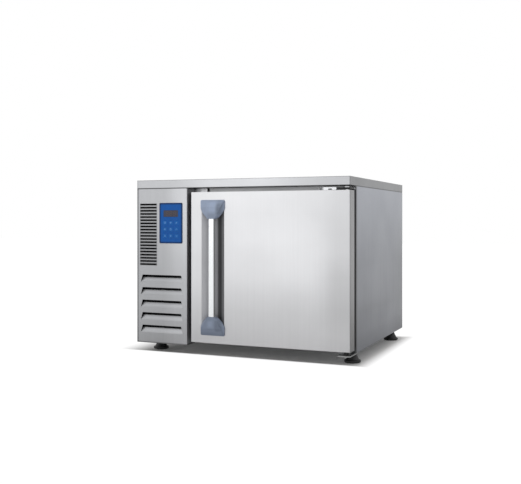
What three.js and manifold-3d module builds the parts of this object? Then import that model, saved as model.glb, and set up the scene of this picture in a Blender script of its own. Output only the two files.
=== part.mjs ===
// Blast chiller with a side column for its refrigeration, in millimetres, +Z up.
// X runs from the cabinet's left side, Y from the door's front face to the back, Z from the floor.
import * as THREE from 'three';
import { mergeVertices } from 'three/addons/utils/BufferGeometryUtils.js';
import Module from 'manifold-3d';

const wasm = await Module();
wasm.setup();

// ---------------------------------------------------------------- driving dimensions
const CABINET_WIDTH = 750;
const CABINET_DEPTH = 698; // door front to back panel
const BODY_HEIGHT = 519; // under the worktop
const WORKTOP_HEIGHT = 27.2;
const SHEET = 1.2; // stainless steel sheet
const FOLD_RADIUS = 2.5; // outside radius of the front folds
const FIT = 0.3; // clearance between pieces that seat on each other
const OVERCUT = 1; // how far a cutting body runs past the face it cuts

const COLUMN_WIDTH = 191.8;
const FRONT_OVERHANG = 63; // the column and worktop stand this far in front of the door frame

const FOOT_HEIGHT = 38;
const FOOT_RADIUS = 26;
const FOOT_STEM_RADIUS = 12;
const FOOT_RIM_HEIGHT = 8;
const FOOT_CONE_RADIUS = 21;
const FOOT_CONE_TOP = 27;
const FOOT_CHAMFER = 2;
const FOOT_NECK = 1; // the cone's top past the stem
const FOOT_SIDE_INSET = 27;
const FOOT_FRONT_INSET = 116.5;
const FOOT_BACK_INSET = 73.5;
const STUD_RADIUS = 5;
const STUD_LENGTH = 10; // above the base panel's underside

const WALL_LEFT = 63; // insulation thicknesses round the chamber
const WALL_RIGHT = 60;
const WALL_FLOOR = 62;
const WALL_CEILING = 62;
const WALL_REAR = 60;
const CHAMBER_CORNER = 12;

const DOOR_LEFT_GAP = 15;
const DOOR_TOP_GAP = 14.7;
const DOOR_BOTTOM_RISE = 12.2;
const DOOR_SKIN_DEPTH = 45;
const DOOR_LINER_RELIEF = 8; // the raised panel on the door's inner face
const DOOR_LINER_SLOPE = 10;
const DOOR_LINER_MARGIN = 22; // gasket to the raised panel's foot
const GASKET_INSET = 20;
const GASKET_WIDTH = 18;
const GASKET_BASE_DEPTH = 7;
const GASKET_LIP_WIDTH = 11;
const GASKET_LIP_SINK = 1; // how far the lip is moulded into the base

const HANDLE_INSET = 37.9; // door edge to cap
const HANDLE_WIDTH = 85.3;
const HANDLE_TOP_MARGIN = 26.2;
const HANDLE_BOTTOM_MARGIN = 25.3;
const PAN_WIDTH = 82;
const PAN_FLOOR_WIDTH = 18;
const PAN_DEPTH = 24;
const PAN_WALL = 1.5;
const PAN_FLANGE = 7;
const PAN_END_COVER = 25.5; // how far each cap reaches past the pan's end
const BAR_WIDTH = 21.5;
const BAR_THICKNESS = 10;
const BAR_PROUD = 13;
const BAR_CORNER = 3.5;
const BAR_SOCKET = 26; // length of the bar inside each cap
const CAP_LENGTH = 61.5;
const CAP_STRAIGHT = 27;
const CAP_BELLY = 1.4; // 1 runs straight from the cap's sides to its mouth, 2 is an ellipse
const CAP_PROUD = 17;
const CAP_FRONT_SLOPE = 24;
const CAP_CORNER = 3;
const CAP_RIM = 4; // upright edge that stands on the door
const CAP_FACE_MARGIN = 7; // the front face inside the cap's sides at its flat end
const CAP_MOUTH_MARGIN = 2; // cap past the bar's sides where the bar leaves it
const CAP_ARC_STEPS = 6;

const HINGE_SIDE_INSET = 18; // pivot from the door's right edge
const HINGE_DEPTH = 25; // pivot behind the door's front
const PIN_RADIUS = 5;
const PIN_REACH = 18; // into the door
const PIN_HEAD_RADIUS = 8;
const PIN_HEAD_HEIGHT = 2;
const BUSH_WALL = 3;
const BUSH_CAP = 3;
const BRACKET_FRONT = 6;
const UPPER_BRACKET_WIDTH = 98;
const UPPER_BRACKET_THICKNESS = 5;
const UPPER_FLANGE_THICKNESS = 3;
const UPPER_BRACKET_RISE = 3.5; // above the door
const UPPER_FLANGE_HEIGHT = 26;
const UPPER_FLANGE_END = 22; // right edge of the flange from the cabinet's side
const LOWER_BRACKET_WIDTH = 43;
const LOWER_BRACKET_THICKNESS = 3.5;
const LOWER_BRACKET_CORNER = 6;
const LOWER_BRACKET_TAIL = 20; // behind the door frame
const BRACKET_SIDE_INSET = 2;
const KNUCKLE_RADIUS = 7.5;

const PANEL_LEFT = 88; // blue control panel on the column
const PANEL_WIDTH = 87;
const PANEL_HEIGHT = 135;
const PANEL_TOP_MARGIN = 49;
const PANEL_CORNER = 4;
const PANEL_THICKNESS = 1;
const PANEL_RIM = 5; // overlap of the control panel on the sheet
const DISPLAY_WIDTH = 54.8;
const DISPLAY_HEIGHT = 21.5;
const DISPLAY_TOP_MARGIN = 24.9;
const DISPLAY_CORNER = 1;
const KEY_COLUMNS = 3;
const KEY_ROWS = 3;
const KEY_WIDTH = 16;
const KEY_HEIGHT = 14;
const KEY_CORNER = 3;
const KEY_PITCH = 22;
const KEY_TOP_MARGIN = 66; // panel's top edge to the first row's centre
const KEY_PROUD = 0.4;
const KEY_DEPTH = 2.2;
const KEY_TRAVEL = 0.5;
const CONTROL_BOX_DEPTH = 52;
const CONTROL_BOX_SIDE = 6;
const CONTROL_BOX_RISE = 7; // above and below the control panel
const CONTROL_BOX_LID = 8;

const SLOT_LEFT = 12.8; // fine vent slots beside the control panel
const SLOT_WIDTH = 64;
const SLOT_HEIGHT = 5.8;
const SLOT_PITCH = 10.58;
const SLOT_TOP_MARGIN = 54;
const SLOT_LOUVER_GAP = 30; // lowest slot above the highest louver

const LOUVER_COUNT = 5;
const LOUVER_PITCH = 42.3;
const LOUVER_BOTTOM = 34.8; // lowest louver above the body's underside
const LOUVER_HEIGHT = 24.5;
const LOUVER_MOUTH = 8.5; // open slit under each louver's top edge
const LOUVER_DEPTH = 9;
const LOUVER_SIDE_MARGIN = 15;
const LOUVER_TAPER = 7; // each end draws in by this much at the top
const LOUVER_END_GAP = 1; // cut between a louver's ends and the sheet

const REAR_SLOT_COUNT = 10;
const REAR_SLOT_WIDTH = 130;
const REAR_SLOT_HEIGHT = 5;
const REAR_SLOT_PITCH = 16;
const REAR_SLOT_TOP = 62; // below the body's top

const COIL_SIDE_GAP = 12; // condenser behind the louvers
const COIL_FRONT = 20;
const COIL_DEPTH = 44;
const COIL_HEIGHT = 232;
const COIL_RISE = 14; // above the base panel
const FIN_PITCH = 8;
const FIN_GAP = 4.5;
const FIN_GROOVE = 0.7; // share of the coil's depth that shows fins
const SHROUD_ARM = 12;
const SHROUD_REACH = 62;
const FAN_TUBE_CLEARANCE = 5;
const FAN_STANDOFF = 6;

const CONDENSER_FAN_RADIUS = 68;
const EVAPORATOR_FAN_RADIUS = 92;
const FAN_HUB_RADIUS = 20;
const FAN_DEPTH = 18;
const FAN_BLADES = 5;
const BLADE_THICKNESS = 1.8;
const BLADE_ROOT_PITCH = 48; // degrees
const BLADE_TIP_PITCH = 24;
const BLADE_ROOT_CHORD = 22;
const BLADE_TIP_CHORD = 40;
const BLADE_SECTIONS = 4;
const BLADE_ROOT_SINK = 3; // how far a blade runs into its hub
const BLADE_EDGE = 0.4; // share of the blade's thickness left at its edges
const MOTOR_RADIUS = 32;
const MOTOR_NOSE = 5;
const SHAFT_RADIUS = 3;
const SHAFT_LENGTH = 12;

const COMPRESSOR_RADIUS = 70;
const COMPRESSOR_HEIGHT = 178;
const COMPRESSOR_ROUND = 22; // bottom edge
const COMPRESSOR_SHOULDER = 118; // where the dome starts
const COMPRESSOR_DOME_STEPS = 5;
const COMPRESSOR_SEAM = 80; // the weld seam's height, width and how far it stands out
const COMPRESSOR_SEAM_WIDTH = 9;
const COMPRESSOR_SEAM_PROUD = 3;
const COMPRESSOR_PLACE = 395; // behind the door's front
const COMPRESSOR_PLATE_MARGIN = 10;
const COMPRESSOR_PLATE_THICKNESS = 3;
const COMPRESSOR_LEG = 8;
const COMPRESSOR_LEG_RADIUS = 9;
const COMPRESSOR_LEG_CIRCLE = 43;
const COMPRESSOR_LEG_COUNT = 4;
const COMPRESSOR_LEG_SINK = 10; // how far a leg runs into the shell
const PIPE_RADIUS = 4;
const PIPE_SIDES = 8;
const PIPE_STEPS = 24;
const CAPILLARY_RADIUS = 2.5;
const CAPILLARY_STEPS = 12;
const DISCHARGE_RISE = 20; // discharge line above the condenser
const DISCHARGE_HUMP = 20; // its level run above its ends
const DISCHARGE_BEND = 60;
const DRIER_RADIUS = 12;
const DRIER_LENGTH = 90;
const DRIER_CONE = 12;
const DRIER_NECK = 1; // drier's end past the pipe
const DRIER_SIDE_GAP = 36; // drier's axis from the column's right side
const DRIER_PLACE = 230;
const DRIER_RISE = 120;
const LIQUID_DROP = 35; // liquid line below the drier
const LIQUID_RISE = 27; // and above the base panel
const LIQUID_SWEEP = 25;
const LIQUID_LEAD = 30; // straight lead into the condenser
const LIQUID_BEND = 80;
const LIQUID_INLET = 14; // above the condenser's lower edge
const LIQUID_SIDE = 12; // from the condenser's left side
const LINE_LEAD = 16; // straight lead to the partition
const CAPILLARY_RISE = 60;
const CAPILLARY_SWEEP = 30;
const SUCTION_RISE = 70; // suction line above the compressor
const SUCTION_BACK = 110; // and behind its axis
const SUCTION_SWEEP = 45;
const SUCTION_DROP = 118; // compressor's top down to the suction stub
const SUCTION_BEND = 28;

const DUCT_DEPTH = 98; // chamber wall to the evaporator baffle's face
const BAFFLE_END_GAP = 14; // baffle to the chamber's front and back
const GRILLE_INNER = 24; // fan grille in the baffle
const GRILLE_RINGS = 4;
const GRILLE_SLOT = 10;
const GRILLE_PITCH = 17;
const GRILLE_BRIDGES = 4;
const GRILLE_ARC_STEPS = 4;
const GRILLE_BRIDGE_WIDTH = 8;
const DUCT_SLOT_COUNT = 6;
const DUCT_SLOT_WIDTH = 52;
const DUCT_SLOT_HEIGHT = 12;
const DUCT_SLOT_PITCH = 58;
const EVAPORATOR_DEPTH = 44;
const EVAPORATOR_FIN_PITCH = 12;
const EVAPORATOR_END_MARGIN = 34;
const EVAPORATOR_FLOOR_MARGIN = 20;
const FAN_BRACKET_WIDTH = 40;
const FAN_BRACKET_HEIGHT = 230;

const TRAY_LEVELS = 5;
const TRAY_PITCH = 70;
const LEDGE_WIDTH = 12;
const LEDGE_THICKNESS = 2;
const FIRST_LEDGE = 36; // above the chamber's floor
const RACK_BACK_GAP = 24;
const RACK_FRONT_GAP = 20;
const RACK_END_RISE = 8;
const RACK_SLOT_WIDTH = 56;
const RACK_SLOT_HEIGHT = 34;
const RACK_SLOT_PITCH = 72;

const GLAND_RADIUS = 10;
const GLAND_FLANGE_RADIUS = 15;
const GLAND_LENGTH = 12;
const GLAND_STEM = 8;
const GLAND_RISE = 52;
const GLAND_MEMBRANE = 3;
const GLAND_CHAMFER = 1;
const GLAND_BORE = 5;

const ROUND_SIDES = 20;
const SMALL_SIDES = 12;
const CORNER_STEPS = 2;
const MERGE_DISTANCE = 1e-4;

// ---------------------------------------------------------------- places that follow
const bodyBottom = FOOT_HEIGHT;
const bodyTop = bodyBottom + BODY_HEIGHT;
const worktopBottom = bodyTop + FIT;
const worktopTop = worktopBottom + WORKTOP_HEIGHT;
const inside = SHEET + FIT; // from a sheet's outer face to what lies behind it
const columnBack = FRONT_OVERHANG - FIT;
const bodyFront = FRONT_OVERHANG + inside;
const bodyBack = CABINET_DEPTH - inside;
const baseTop = bodyBottom + inside;
const partitionLeft = COLUMN_WIDTH + FIT;
const foamLeft = partitionLeft + inside;
const foamRight = CABINET_WIDTH - inside;

const chamber = {
  left: foamLeft + WALL_LEFT,
  right: CABINET_WIDTH - WALL_RIGHT,
  bottom: bodyBottom + WALL_FLOOR,
  top: bodyTop - WALL_CEILING,
  back: CABINET_DEPTH - WALL_REAR,
};
const door = {
  left: COLUMN_WIDTH + DOOR_LEFT_GAP,
  right: CABINET_WIDTH,
  bottom: bodyBottom + DOOR_BOTTOM_RISE,
  top: bodyTop - DOOR_TOP_GAP,
  linerFront: DOOR_SKIN_DEPTH + FIT,
  back: DOOR_SKIN_DEPTH + FIT + SHEET,
};
const gasket = {
  left: door.left + GASKET_INSET,
  right: door.right - GASKET_INSET,
  bottom: door.bottom + GASKET_INSET,
  top: door.top - GASKET_INSET,
};
const handle = {
  middle: door.left + HANDLE_INSET + HANDLE_WIDTH / 2,
  bottom: door.bottom + HANDLE_BOTTOM_MARGIN,
  top: door.top - HANDLE_TOP_MARGIN,
};
const pivot = { x: door.right - HINGE_SIDE_INSET, y: HINGE_DEPTH };
const panel = {
  left: PANEL_LEFT,
  right: PANEL_LEFT + PANEL_WIDTH,
  top: bodyTop - PANEL_TOP_MARGIN,
  bottom: bodyTop - PANEL_TOP_MARGIN - PANEL_HEIGHT,
  middle: PANEL_LEFT + PANEL_WIDTH / 2,
};
const columnMiddle = COLUMN_WIDTH / 2;
const coil = { bottom: baseTop + COIL_RISE, back: COIL_FRONT + COIL_DEPTH };
const condenserFan = {
  y: coil.back + inside + FAN_STANDOFF + FAN_DEPTH / 2,
  z: coil.bottom + COIL_HEIGHT / 2,
};
const baffleFace = chamber.left + DUCT_DEPTH;
const baffle = {
  front: bodyFront + BAFFLE_END_GAP,
  back: chamber.back - BAFFLE_END_GAP,
  bottom: chamber.bottom + FIT,
  top: chamber.top - FIT,
};
const evaporatorFan = {
  x: baffleFace - inside - FAN_STANDOFF - FAN_DEPTH / 2,
  y: (baffle.front + baffle.back) / 2,
  z: (chamber.bottom + chamber.top) / 2,
};

// ---------------------------------------------------------------- materials
const metal = (color, roughness) => new THREE.MeshStandardMaterial({ color, roughness, metalness: 1 });
const plastic = (color, roughness) => new THREE.MeshStandardMaterial({ color, roughness, metalness: 0 });
const finish = {
  steel: () => metal(0xd4d6d8, 0.35),
  darkSteel: () => metal(0x8f9296, 0.5),
  aluminium: () => metal(0xe8ebee, 0.25),
  chrome: () => metal(0xdfe2e6, 0.1),
  copper: () => metal(0xb06a3c, 0.35),
  black: () => plastic(0x141414, 0.6),
  graphite: () => plastic(0x3a3d42, 0.55),
  blueGrey: () => plastic(0x7f8ba0, 0.45),
  blue: () => plastic(0x165096, 0.35),
  keyBlue: () => plastic(0x2f74b8, 0.4),
  smoke: () => plastic(0x4c4a4c, 0.2),
  foam: () => plastic(0xe7dfb8, 0.95),
  nylon: () => plastic(0xe6e6e2, 0.5),
  rubber: () => plastic(0x55585c, 0.85),
};

// ---------------------------------------------------------------- solids
const point = (x, y, z) => new THREE.Vector3(x, y, z);

/** Six times the signed volume under one triangle, seen from the origin. */
function signedVolume(corners, [a, b, c]) {
  return corners[a].dot(corners[b].clone().cross(corners[c]));
}

/** A closed geometry as a solid that can be cut and joined, its faces turned outwards. */
function solid(geometry) {
  const bare = new THREE.BufferGeometry();
  bare.setAttribute('position', geometry.getAttribute('position'));
  bare.setIndex(geometry.getIndex());
  const merged = mergeVertices(bare, MERGE_DISTANCE);
  const position = merged.getAttribute('position');
  const corners = Array.from({ length: position.count }, (_, i) =>
    new THREE.Vector3().fromBufferAttribute(position, i));
  const index = merged.getIndex().array;
  const triangles = [];
  for (let i = 0; i < index.length; i += 3) {
    const [a, b, c] = [index[i], index[i + 1], index[i + 2]];
    if (a !== b && b !== c && c !== a) triangles.push([a, b, c]);
  }
  const volume = triangles.reduce((sum, triangle) => sum + signedVolume(corners, triangle), 0);
  if (volume < 0) triangles.forEach((triangle) => triangle.reverse());
  return new wasm.Manifold(new wasm.Mesh({
    numProp: 3,
    vertProperties: Float32Array.from(corners.flatMap((corner) => corner.toArray())),
    triVerts: Uint32Array.from(triangles.flat()),
  }));
}

const join = (first, ...rest) => rest.reduce((sum, piece) => sum.add(piece), first);
const cut = (first, ...rest) => rest.reduce((sum, piece) => sum.subtract(piece), first);

/** A box between two corners. */
function block(x0, x1, y0, y1, z0, z1) {
  const geometry = new THREE.BoxGeometry(x1 - x0, y1 - y0, z1 - z0);
  return solid(geometry.translate((x0 + x1) / 2, (y0 + y1) / 2, (z0 + z1) / 2));
}

/** The shape's two coordinates, and the direction it is extruded in, for each axis. */
const extrusionFrames = {
  x: new THREE.Matrix4().makeBasis(point(0, 1, 0), point(0, 0, 1), point(1, 0, 0)),
  y: new THREE.Matrix4().makeBasis(point(1, 0, 0), point(0, 0, 1), point(0, -1, 0)),
  z: new THREE.Matrix4(),
};

/** A flat shape pushed along an axis: (y, z) along x, (x, z) along y, (x, y) along z. */
function prism(shape, axis, from, to, curveSegments = CORNER_STEPS) {
  const options = { depth: to - from, bevelEnabled: false, curveSegments };
  const geometry = new THREE.ExtrudeGeometry(shape, options);
  const start = axis === 'y' ? -to : from;
  geometry.translate(0, 0, start);
  return solid(geometry.applyMatrix4(extrusionFrames[axis]));
}

const outline = (points) => new THREE.Shape(points.map(([u, v]) => new THREE.Vector2(u, v)));

/** A rectangle with all corners rounded. */
function roundedRectangle(u0, u1, v0, v1, radius) {
  const shape = new THREE.Shape();
  shape.absarc(u1 - radius, v0 + radius, radius, -Math.PI / 2, 0);
  shape.absarc(u1 - radius, v1 - radius, radius, 0, Math.PI / 2);
  shape.absarc(u0 + radius, v1 - radius, radius, Math.PI / 2, Math.PI);
  shape.absarc(u0 + radius, v0 + radius, radius, Math.PI, 1.5 * Math.PI);
  return shape;
}

/** A plan outline with its two front corners folded round, from the front y0 back to y1. */
function foldedOutline(x0, x1, y0, y1, radius) {
  const shape = new THREE.Shape();
  shape.absarc(x1 - radius, y0 + radius, radius, -Math.PI / 2, 0);
  shape.lineTo(x1, y1);
  shape.lineTo(x0, y1);
  shape.absarc(x0 + radius, y0 + radius, radius, Math.PI, 1.5 * Math.PI);
  return shape;
}

/** A sheet box with folded front edges, open at the back, with walls of one sheet. */
function foldedTray(x0, x1, y0, y1, z0, z1) {
  const shell = prism(foldedOutline(x0, x1, y0, y1, FOLD_RADIUS), 'z', z0, z1);
  const hollow = foldedOutline(x0 + SHEET, x1 - SHEET, y0 + SHEET, y1 + OVERCUT, FOLD_RADIUS - SHEET);
  return cut(shell, prism(hollow, 'z', z0 + SHEET, z1 - SHEET));
}

/** A solid of revolution about its own +Z; the profile holds [radius, height] pairs. */
function revolve(profile, sides = ROUND_SIDES) {
  const points = profile.map(([radius, height]) => new THREE.Vector2(radius, height));
  return solid(new THREE.LatheGeometry(points, sides).rotateX(Math.PI / 2));
}

const cylinder = (radius, from, to, sides = ROUND_SIDES) =>
  revolve([[0, from], [radius, from], [radius, to], [0, to]], sides);

/** A closed skin over rings of equally many points, with both end rings filled. */
function loft(rings) {
  const count = rings[0].length;
  const last = (rings.length - 1) * count;
  const index = [];
  for (let ring = 0; ring < rings.length - 1; ring += 1) {
    for (let i = 0; i < count; i += 1) {
      const [a, b] = [ring * count + i, ring * count + ((i + 1) % count)];
      index.push(a, b, b + count, a, b + count, a + count);
    }
  }
  for (let i = 0; i < count - 2 - i; i += 1) {
    const [a, b, c, d] = [i, i + 1, count - 2 - i, count - 1 - i];
    index.push(d, b, a, last + a, last + b, last + d);
    if (b < c) index.push(d, c, b, last + b, last + c, last + d);
  }
  const geometry = new THREE.BufferGeometry().setFromPoints(rings.flat());
  geometry.setIndex(index);
  return solid(geometry);
}

/** A round pipe along a smooth curve through the points. */
function pipe(points, radius = PIPE_RADIUS, steps = PIPE_STEPS) {
  const section = new THREE.Shape().absarc(0, 0, radius, 0, 2 * Math.PI);
  const extrudePath = new THREE.CatmullRomCurve3(points, false, 'centripetal');
  const options = { steps, curveSegments: PIPE_SIDES / 2, extrudePath };
  return solid(new THREE.ExtrudeGeometry(section, options));
}

const chiller = new THREE.Group();
chiller.name = 'blast_chiller';

/** Adds one named piece; place and turn put a piece modelled about its own origin. */
function add(name, piece, material, place = point(0, 0, 0), turn = new THREE.Euler()) {
  const { vertProperties, triVerts } = piece.getMesh();
  const geometry = new THREE.BufferGeometry();
  geometry.setAttribute('position', new THREE.BufferAttribute(Float32Array.from(vertProperties), 3));
  geometry.setIndex(new THREE.BufferAttribute(Uint32Array.from(triVerts), 1));
  geometry.computeVertexNormals();
  const mesh = new THREE.Mesh(geometry, material);
  mesh.name = name;
  mesh.position.copy(place);
  mesh.rotation.copy(turn);
  chiller.add(mesh);
}

/** A solid modelled about its own origin, carried to a place after a turn in degrees about X. */
const placed = (piece, x, y, z, turnX = 0) => piece.rotate([turnX, 0, 0]).translate([x, y, z]);

const footPlaces = [
  ['front_left', FOOT_SIDE_INSET, FOOT_FRONT_INSET],
  ['front_right', CABINET_WIDTH - FOOT_SIDE_INSET, FOOT_FRONT_INSET],
  ['back_left', FOOT_SIDE_INSET, CABINET_DEPTH - FOOT_BACK_INSET],
  ['back_right', CABINET_WIDTH - FOOT_SIDE_INSET, CABINET_DEPTH - FOOT_BACK_INSET],
];

/** Holes for the four foot studs, from below the base to just above the stud ends. */
const studHoles = () => footPlaces.map(([, x, y]) =>
  placed(cylinder(STUD_RADIUS + FIT, -OVERCUT, STUD_LENGTH + FIT, SMALL_SIDES), x, y, bodyBottom));

// ---------------------------------------------------------------- cabinet
function worktop() {
  const shape = foldedOutline(0, CABINET_WIDTH, 0, CABINET_DEPTH, FOLD_RADIUS);
  const shell = prism(shape, 'z', worktopBottom, worktopTop);
  const upper = block(SHEET, CABINET_WIDTH - SHEET, SHEET, CABINET_DEPTH - SHEET,
    worktopBottom + SHEET, worktopTop - SHEET);
  const open = block(SHEET, CABINET_WIDTH - SHEET, FRONT_OVERHANG + SHEET, CABINET_DEPTH - SHEET,
    worktopBottom - OVERCUT, worktopTop - SHEET);
  add('worktop', cut(shell, upper, open), finish.steel());
  const core = block(inside, CABINET_WIDTH - inside, inside, CABINET_DEPTH - inside,
    worktopBottom + inside, worktopTop - inside);
  add('worktop_core', core, finish.foam());
}

function cabinetPanels() {
  const left = block(0, SHEET, FRONT_OVERHANG, bodyBack, bodyBottom, bodyTop);
  add('left_side_panel', left, finish.steel());
  const right = block(CABINET_WIDTH - SHEET, CABINET_WIDTH, bodyFront, bodyBack, bodyBottom, bodyTop);
  add('right_side_panel', right, finish.steel());
  const base = block(inside, CABINET_WIDTH - inside, bodyFront, bodyBack, bodyBottom, bodyBottom + SHEET);
  add('base_panel', cut(base, ...studHoles()), finish.darkSteel());
  const partition = block(partitionLeft, partitionLeft + SHEET, bodyFront, bodyBack, baseTop, bodyTop);
  add('partition_panel', partition, finish.darkSteel());
}

function backPanel() {
  let sheet = block(0, CABINET_WIDTH, CABINET_DEPTH - SHEET, CABINET_DEPTH, bodyBottom, bodyTop);
  for (let i = 0; i < REAR_SLOT_COUNT; i += 1) {
    const z = bodyTop - REAR_SLOT_TOP - i * REAR_SLOT_PITCH;
    sheet = cut(sheet, block(columnMiddle - REAR_SLOT_WIDTH / 2, columnMiddle + REAR_SLOT_WIDTH / 2,
      CABINET_DEPTH - SHEET - OVERCUT, CABINET_DEPTH + OVERCUT, z - REAR_SLOT_HEIGHT, z));
  }
  const stemHole = cylinder(GLAND_STEM + FIT, -SHEET - OVERCUT, OVERCUT, SMALL_SIDES);
  const hole = placed(stemHole, columnMiddle, CABINET_DEPTH, bodyBottom + GLAND_RISE, -90);
  add('back_panel', cut(sheet, hole), finish.steel());
  const gland = revolve([
    [0, -SHEET - FIT - OVERCUT], [GLAND_STEM, -SHEET - FIT - OVERCUT], [GLAND_STEM, FIT],
    [GLAND_FLANGE_RADIUS, FIT], [GLAND_FLANGE_RADIUS, FIT + GLAND_MEMBRANE],
    [GLAND_RADIUS, FIT + GLAND_MEMBRANE], [GLAND_RADIUS - GLAND_CHAMFER, GLAND_LENGTH],
    [GLAND_BORE, GLAND_LENGTH], [0, GLAND_LENGTH - GLAND_MEMBRANE],
  ], SMALL_SIDES);
  add('cable_gland', gland, finish.black(),
    point(columnMiddle, CABINET_DEPTH, bodyBottom + GLAND_RISE), new THREE.Euler(-Math.PI / 2, 0, 0));
}

/** The chamber's section, grown outwards by a margin. */
const chamberSection = (margin) => roundedRectangle(chamber.left - margin, chamber.right + margin,
  chamber.bottom - margin, chamber.top + margin, CHAMBER_CORNER + margin);

function insulatedBody() {
  const frame = block(partitionLeft, CABINET_WIDTH, FRONT_OVERHANG, FRONT_OVERHANG + SHEET,
    bodyBottom, bodyTop);
  const mouth = prism(chamberSection(0), 'y', FRONT_OVERHANG - OVERCUT, bodyFront);
  add('front_frame', cut(frame, mouth), finish.steel());
  const outer = prism(chamberSection(SHEET), 'y', bodyFront, chamber.back - SHEET);
  const inner = prism(chamberSection(0), 'y', bodyFront - OVERCUT, chamber.back);
  add('chamber_liner', cut(outer, inner), finish.steel());
  const back = prism(chamberSection(SHEET), 'y', chamber.back - SHEET, chamber.back);
  add('chamber_back', back, finish.steel());
  const foam = block(foamLeft, foamRight, bodyFront, bodyBack, baseTop, bodyTop);
  const hollow = prism(chamberSection(inside), 'y', bodyFront - OVERCUT, chamber.back + FIT);
  add('foam_insulation', cut(foam, hollow, ...studHoles()), finish.foam());
}

function feet() {
  for (const [name, x, y] of footPlaces) {
    const profile = [
      [0, 0], [FOOT_RADIUS - FOOT_CHAMFER, 0], [FOOT_RADIUS, FOOT_CHAMFER], [FOOT_RADIUS, FOOT_RIM_HEIGHT],
      [FOOT_CONE_RADIUS, FOOT_RIM_HEIGHT + FOOT_CHAMFER], [FOOT_STEM_RADIUS + FOOT_NECK, FOOT_CONE_TOP],
      [FOOT_STEM_RADIUS, FOOT_CONE_TOP + FOOT_CHAMFER], [FOOT_STEM_RADIUS, FOOT_HEIGHT - FIT],
      [STUD_RADIUS, FOOT_HEIGHT - FIT], [STUD_RADIUS, FOOT_HEIGHT + STUD_LENGTH],
      [0, FOOT_HEIGHT + STUD_LENGTH],
    ];
    add(`foot_${name}`, revolve(profile), finish.black(), point(x, y, 0));
  }
}

// ---------------------------------------------------------------- service column
/** A louver cut on three sides and pressed inwards: its sloping plate, and the opening around it. */
function louver(top) {
  const bottom = top - LOUVER_HEIGHT;
  const edge = (z, margin) => {
    const drawn = LOUVER_TAPER * Math.max(0, z - bottom) / LOUVER_HEIGHT;
    return LOUVER_SIDE_MARGIN + drawn + margin;
  };
  const ends = (profile, margin) => [
    profile.map(([y, z]) => point(edge(z, margin), y, z)),
    profile.map(([y, z]) => point(COLUMN_WIDTH - edge(z, margin), y, z)),
  ];
  const lip = top - LOUVER_MOUTH;
  const hollow = [[-OVERCUT, bottom], [SHEET + OVERCUT, bottom], [SHEET + OVERCUT, top], [-OVERCUT, top]];
  const plate = [[0, bottom - SHEET], [SHEET, bottom - SHEET], [LOUVER_DEPTH + SHEET, lip],
    [LOUVER_DEPTH, lip], [0, bottom]];
  return { plate: loft(ends(plate, LOUVER_END_GAP)), hollow: loft(ends(hollow, 0)) };
}

function servicePanel() {
  let sheet = foldedTray(0, COLUMN_WIDTH, 0, columnBack, bodyBottom, bodyTop);
  const louverTops = Array.from({ length: LOUVER_COUNT }, (_, i) =>
    bodyBottom + LOUVER_BOTTOM + LOUVER_HEIGHT + i * LOUVER_PITCH);
  for (const top of louverTops) {
    const { plate, hollow } = louver(top);
    sheet = join(cut(sheet, hollow), plate);
  }
  const lowestSlot = Math.max(...louverTops) + SLOT_LOUVER_GAP;
  for (let z = bodyTop - SLOT_TOP_MARGIN; z > lowestSlot; z -= SLOT_PITCH) {
    sheet = cut(sheet, block(SLOT_LEFT, SLOT_LEFT + SLOT_WIDTH, -OVERCUT, SHEET + OVERCUT,
      z - SLOT_HEIGHT / 2, z + SLOT_HEIGHT / 2));
  }
  const window = block(panel.left + PANEL_RIM, panel.right - PANEL_RIM, -OVERCUT, SHEET + OVERCUT,
    panel.bottom + PANEL_RIM, panel.top - PANEL_RIM);
  add('service_front_panel', cut(sheet, window), finish.steel());
}

/** A rounded rectangle of the control panel's face, given by its middle, as a prism along Y. */
function faceplate(x, z, width, height, corner, from, to) {
  return prism(roundedRectangle(x - width / 2, x + width / 2, z - height / 2, z + height / 2, corner),
    'y', from, to);
}

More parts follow.
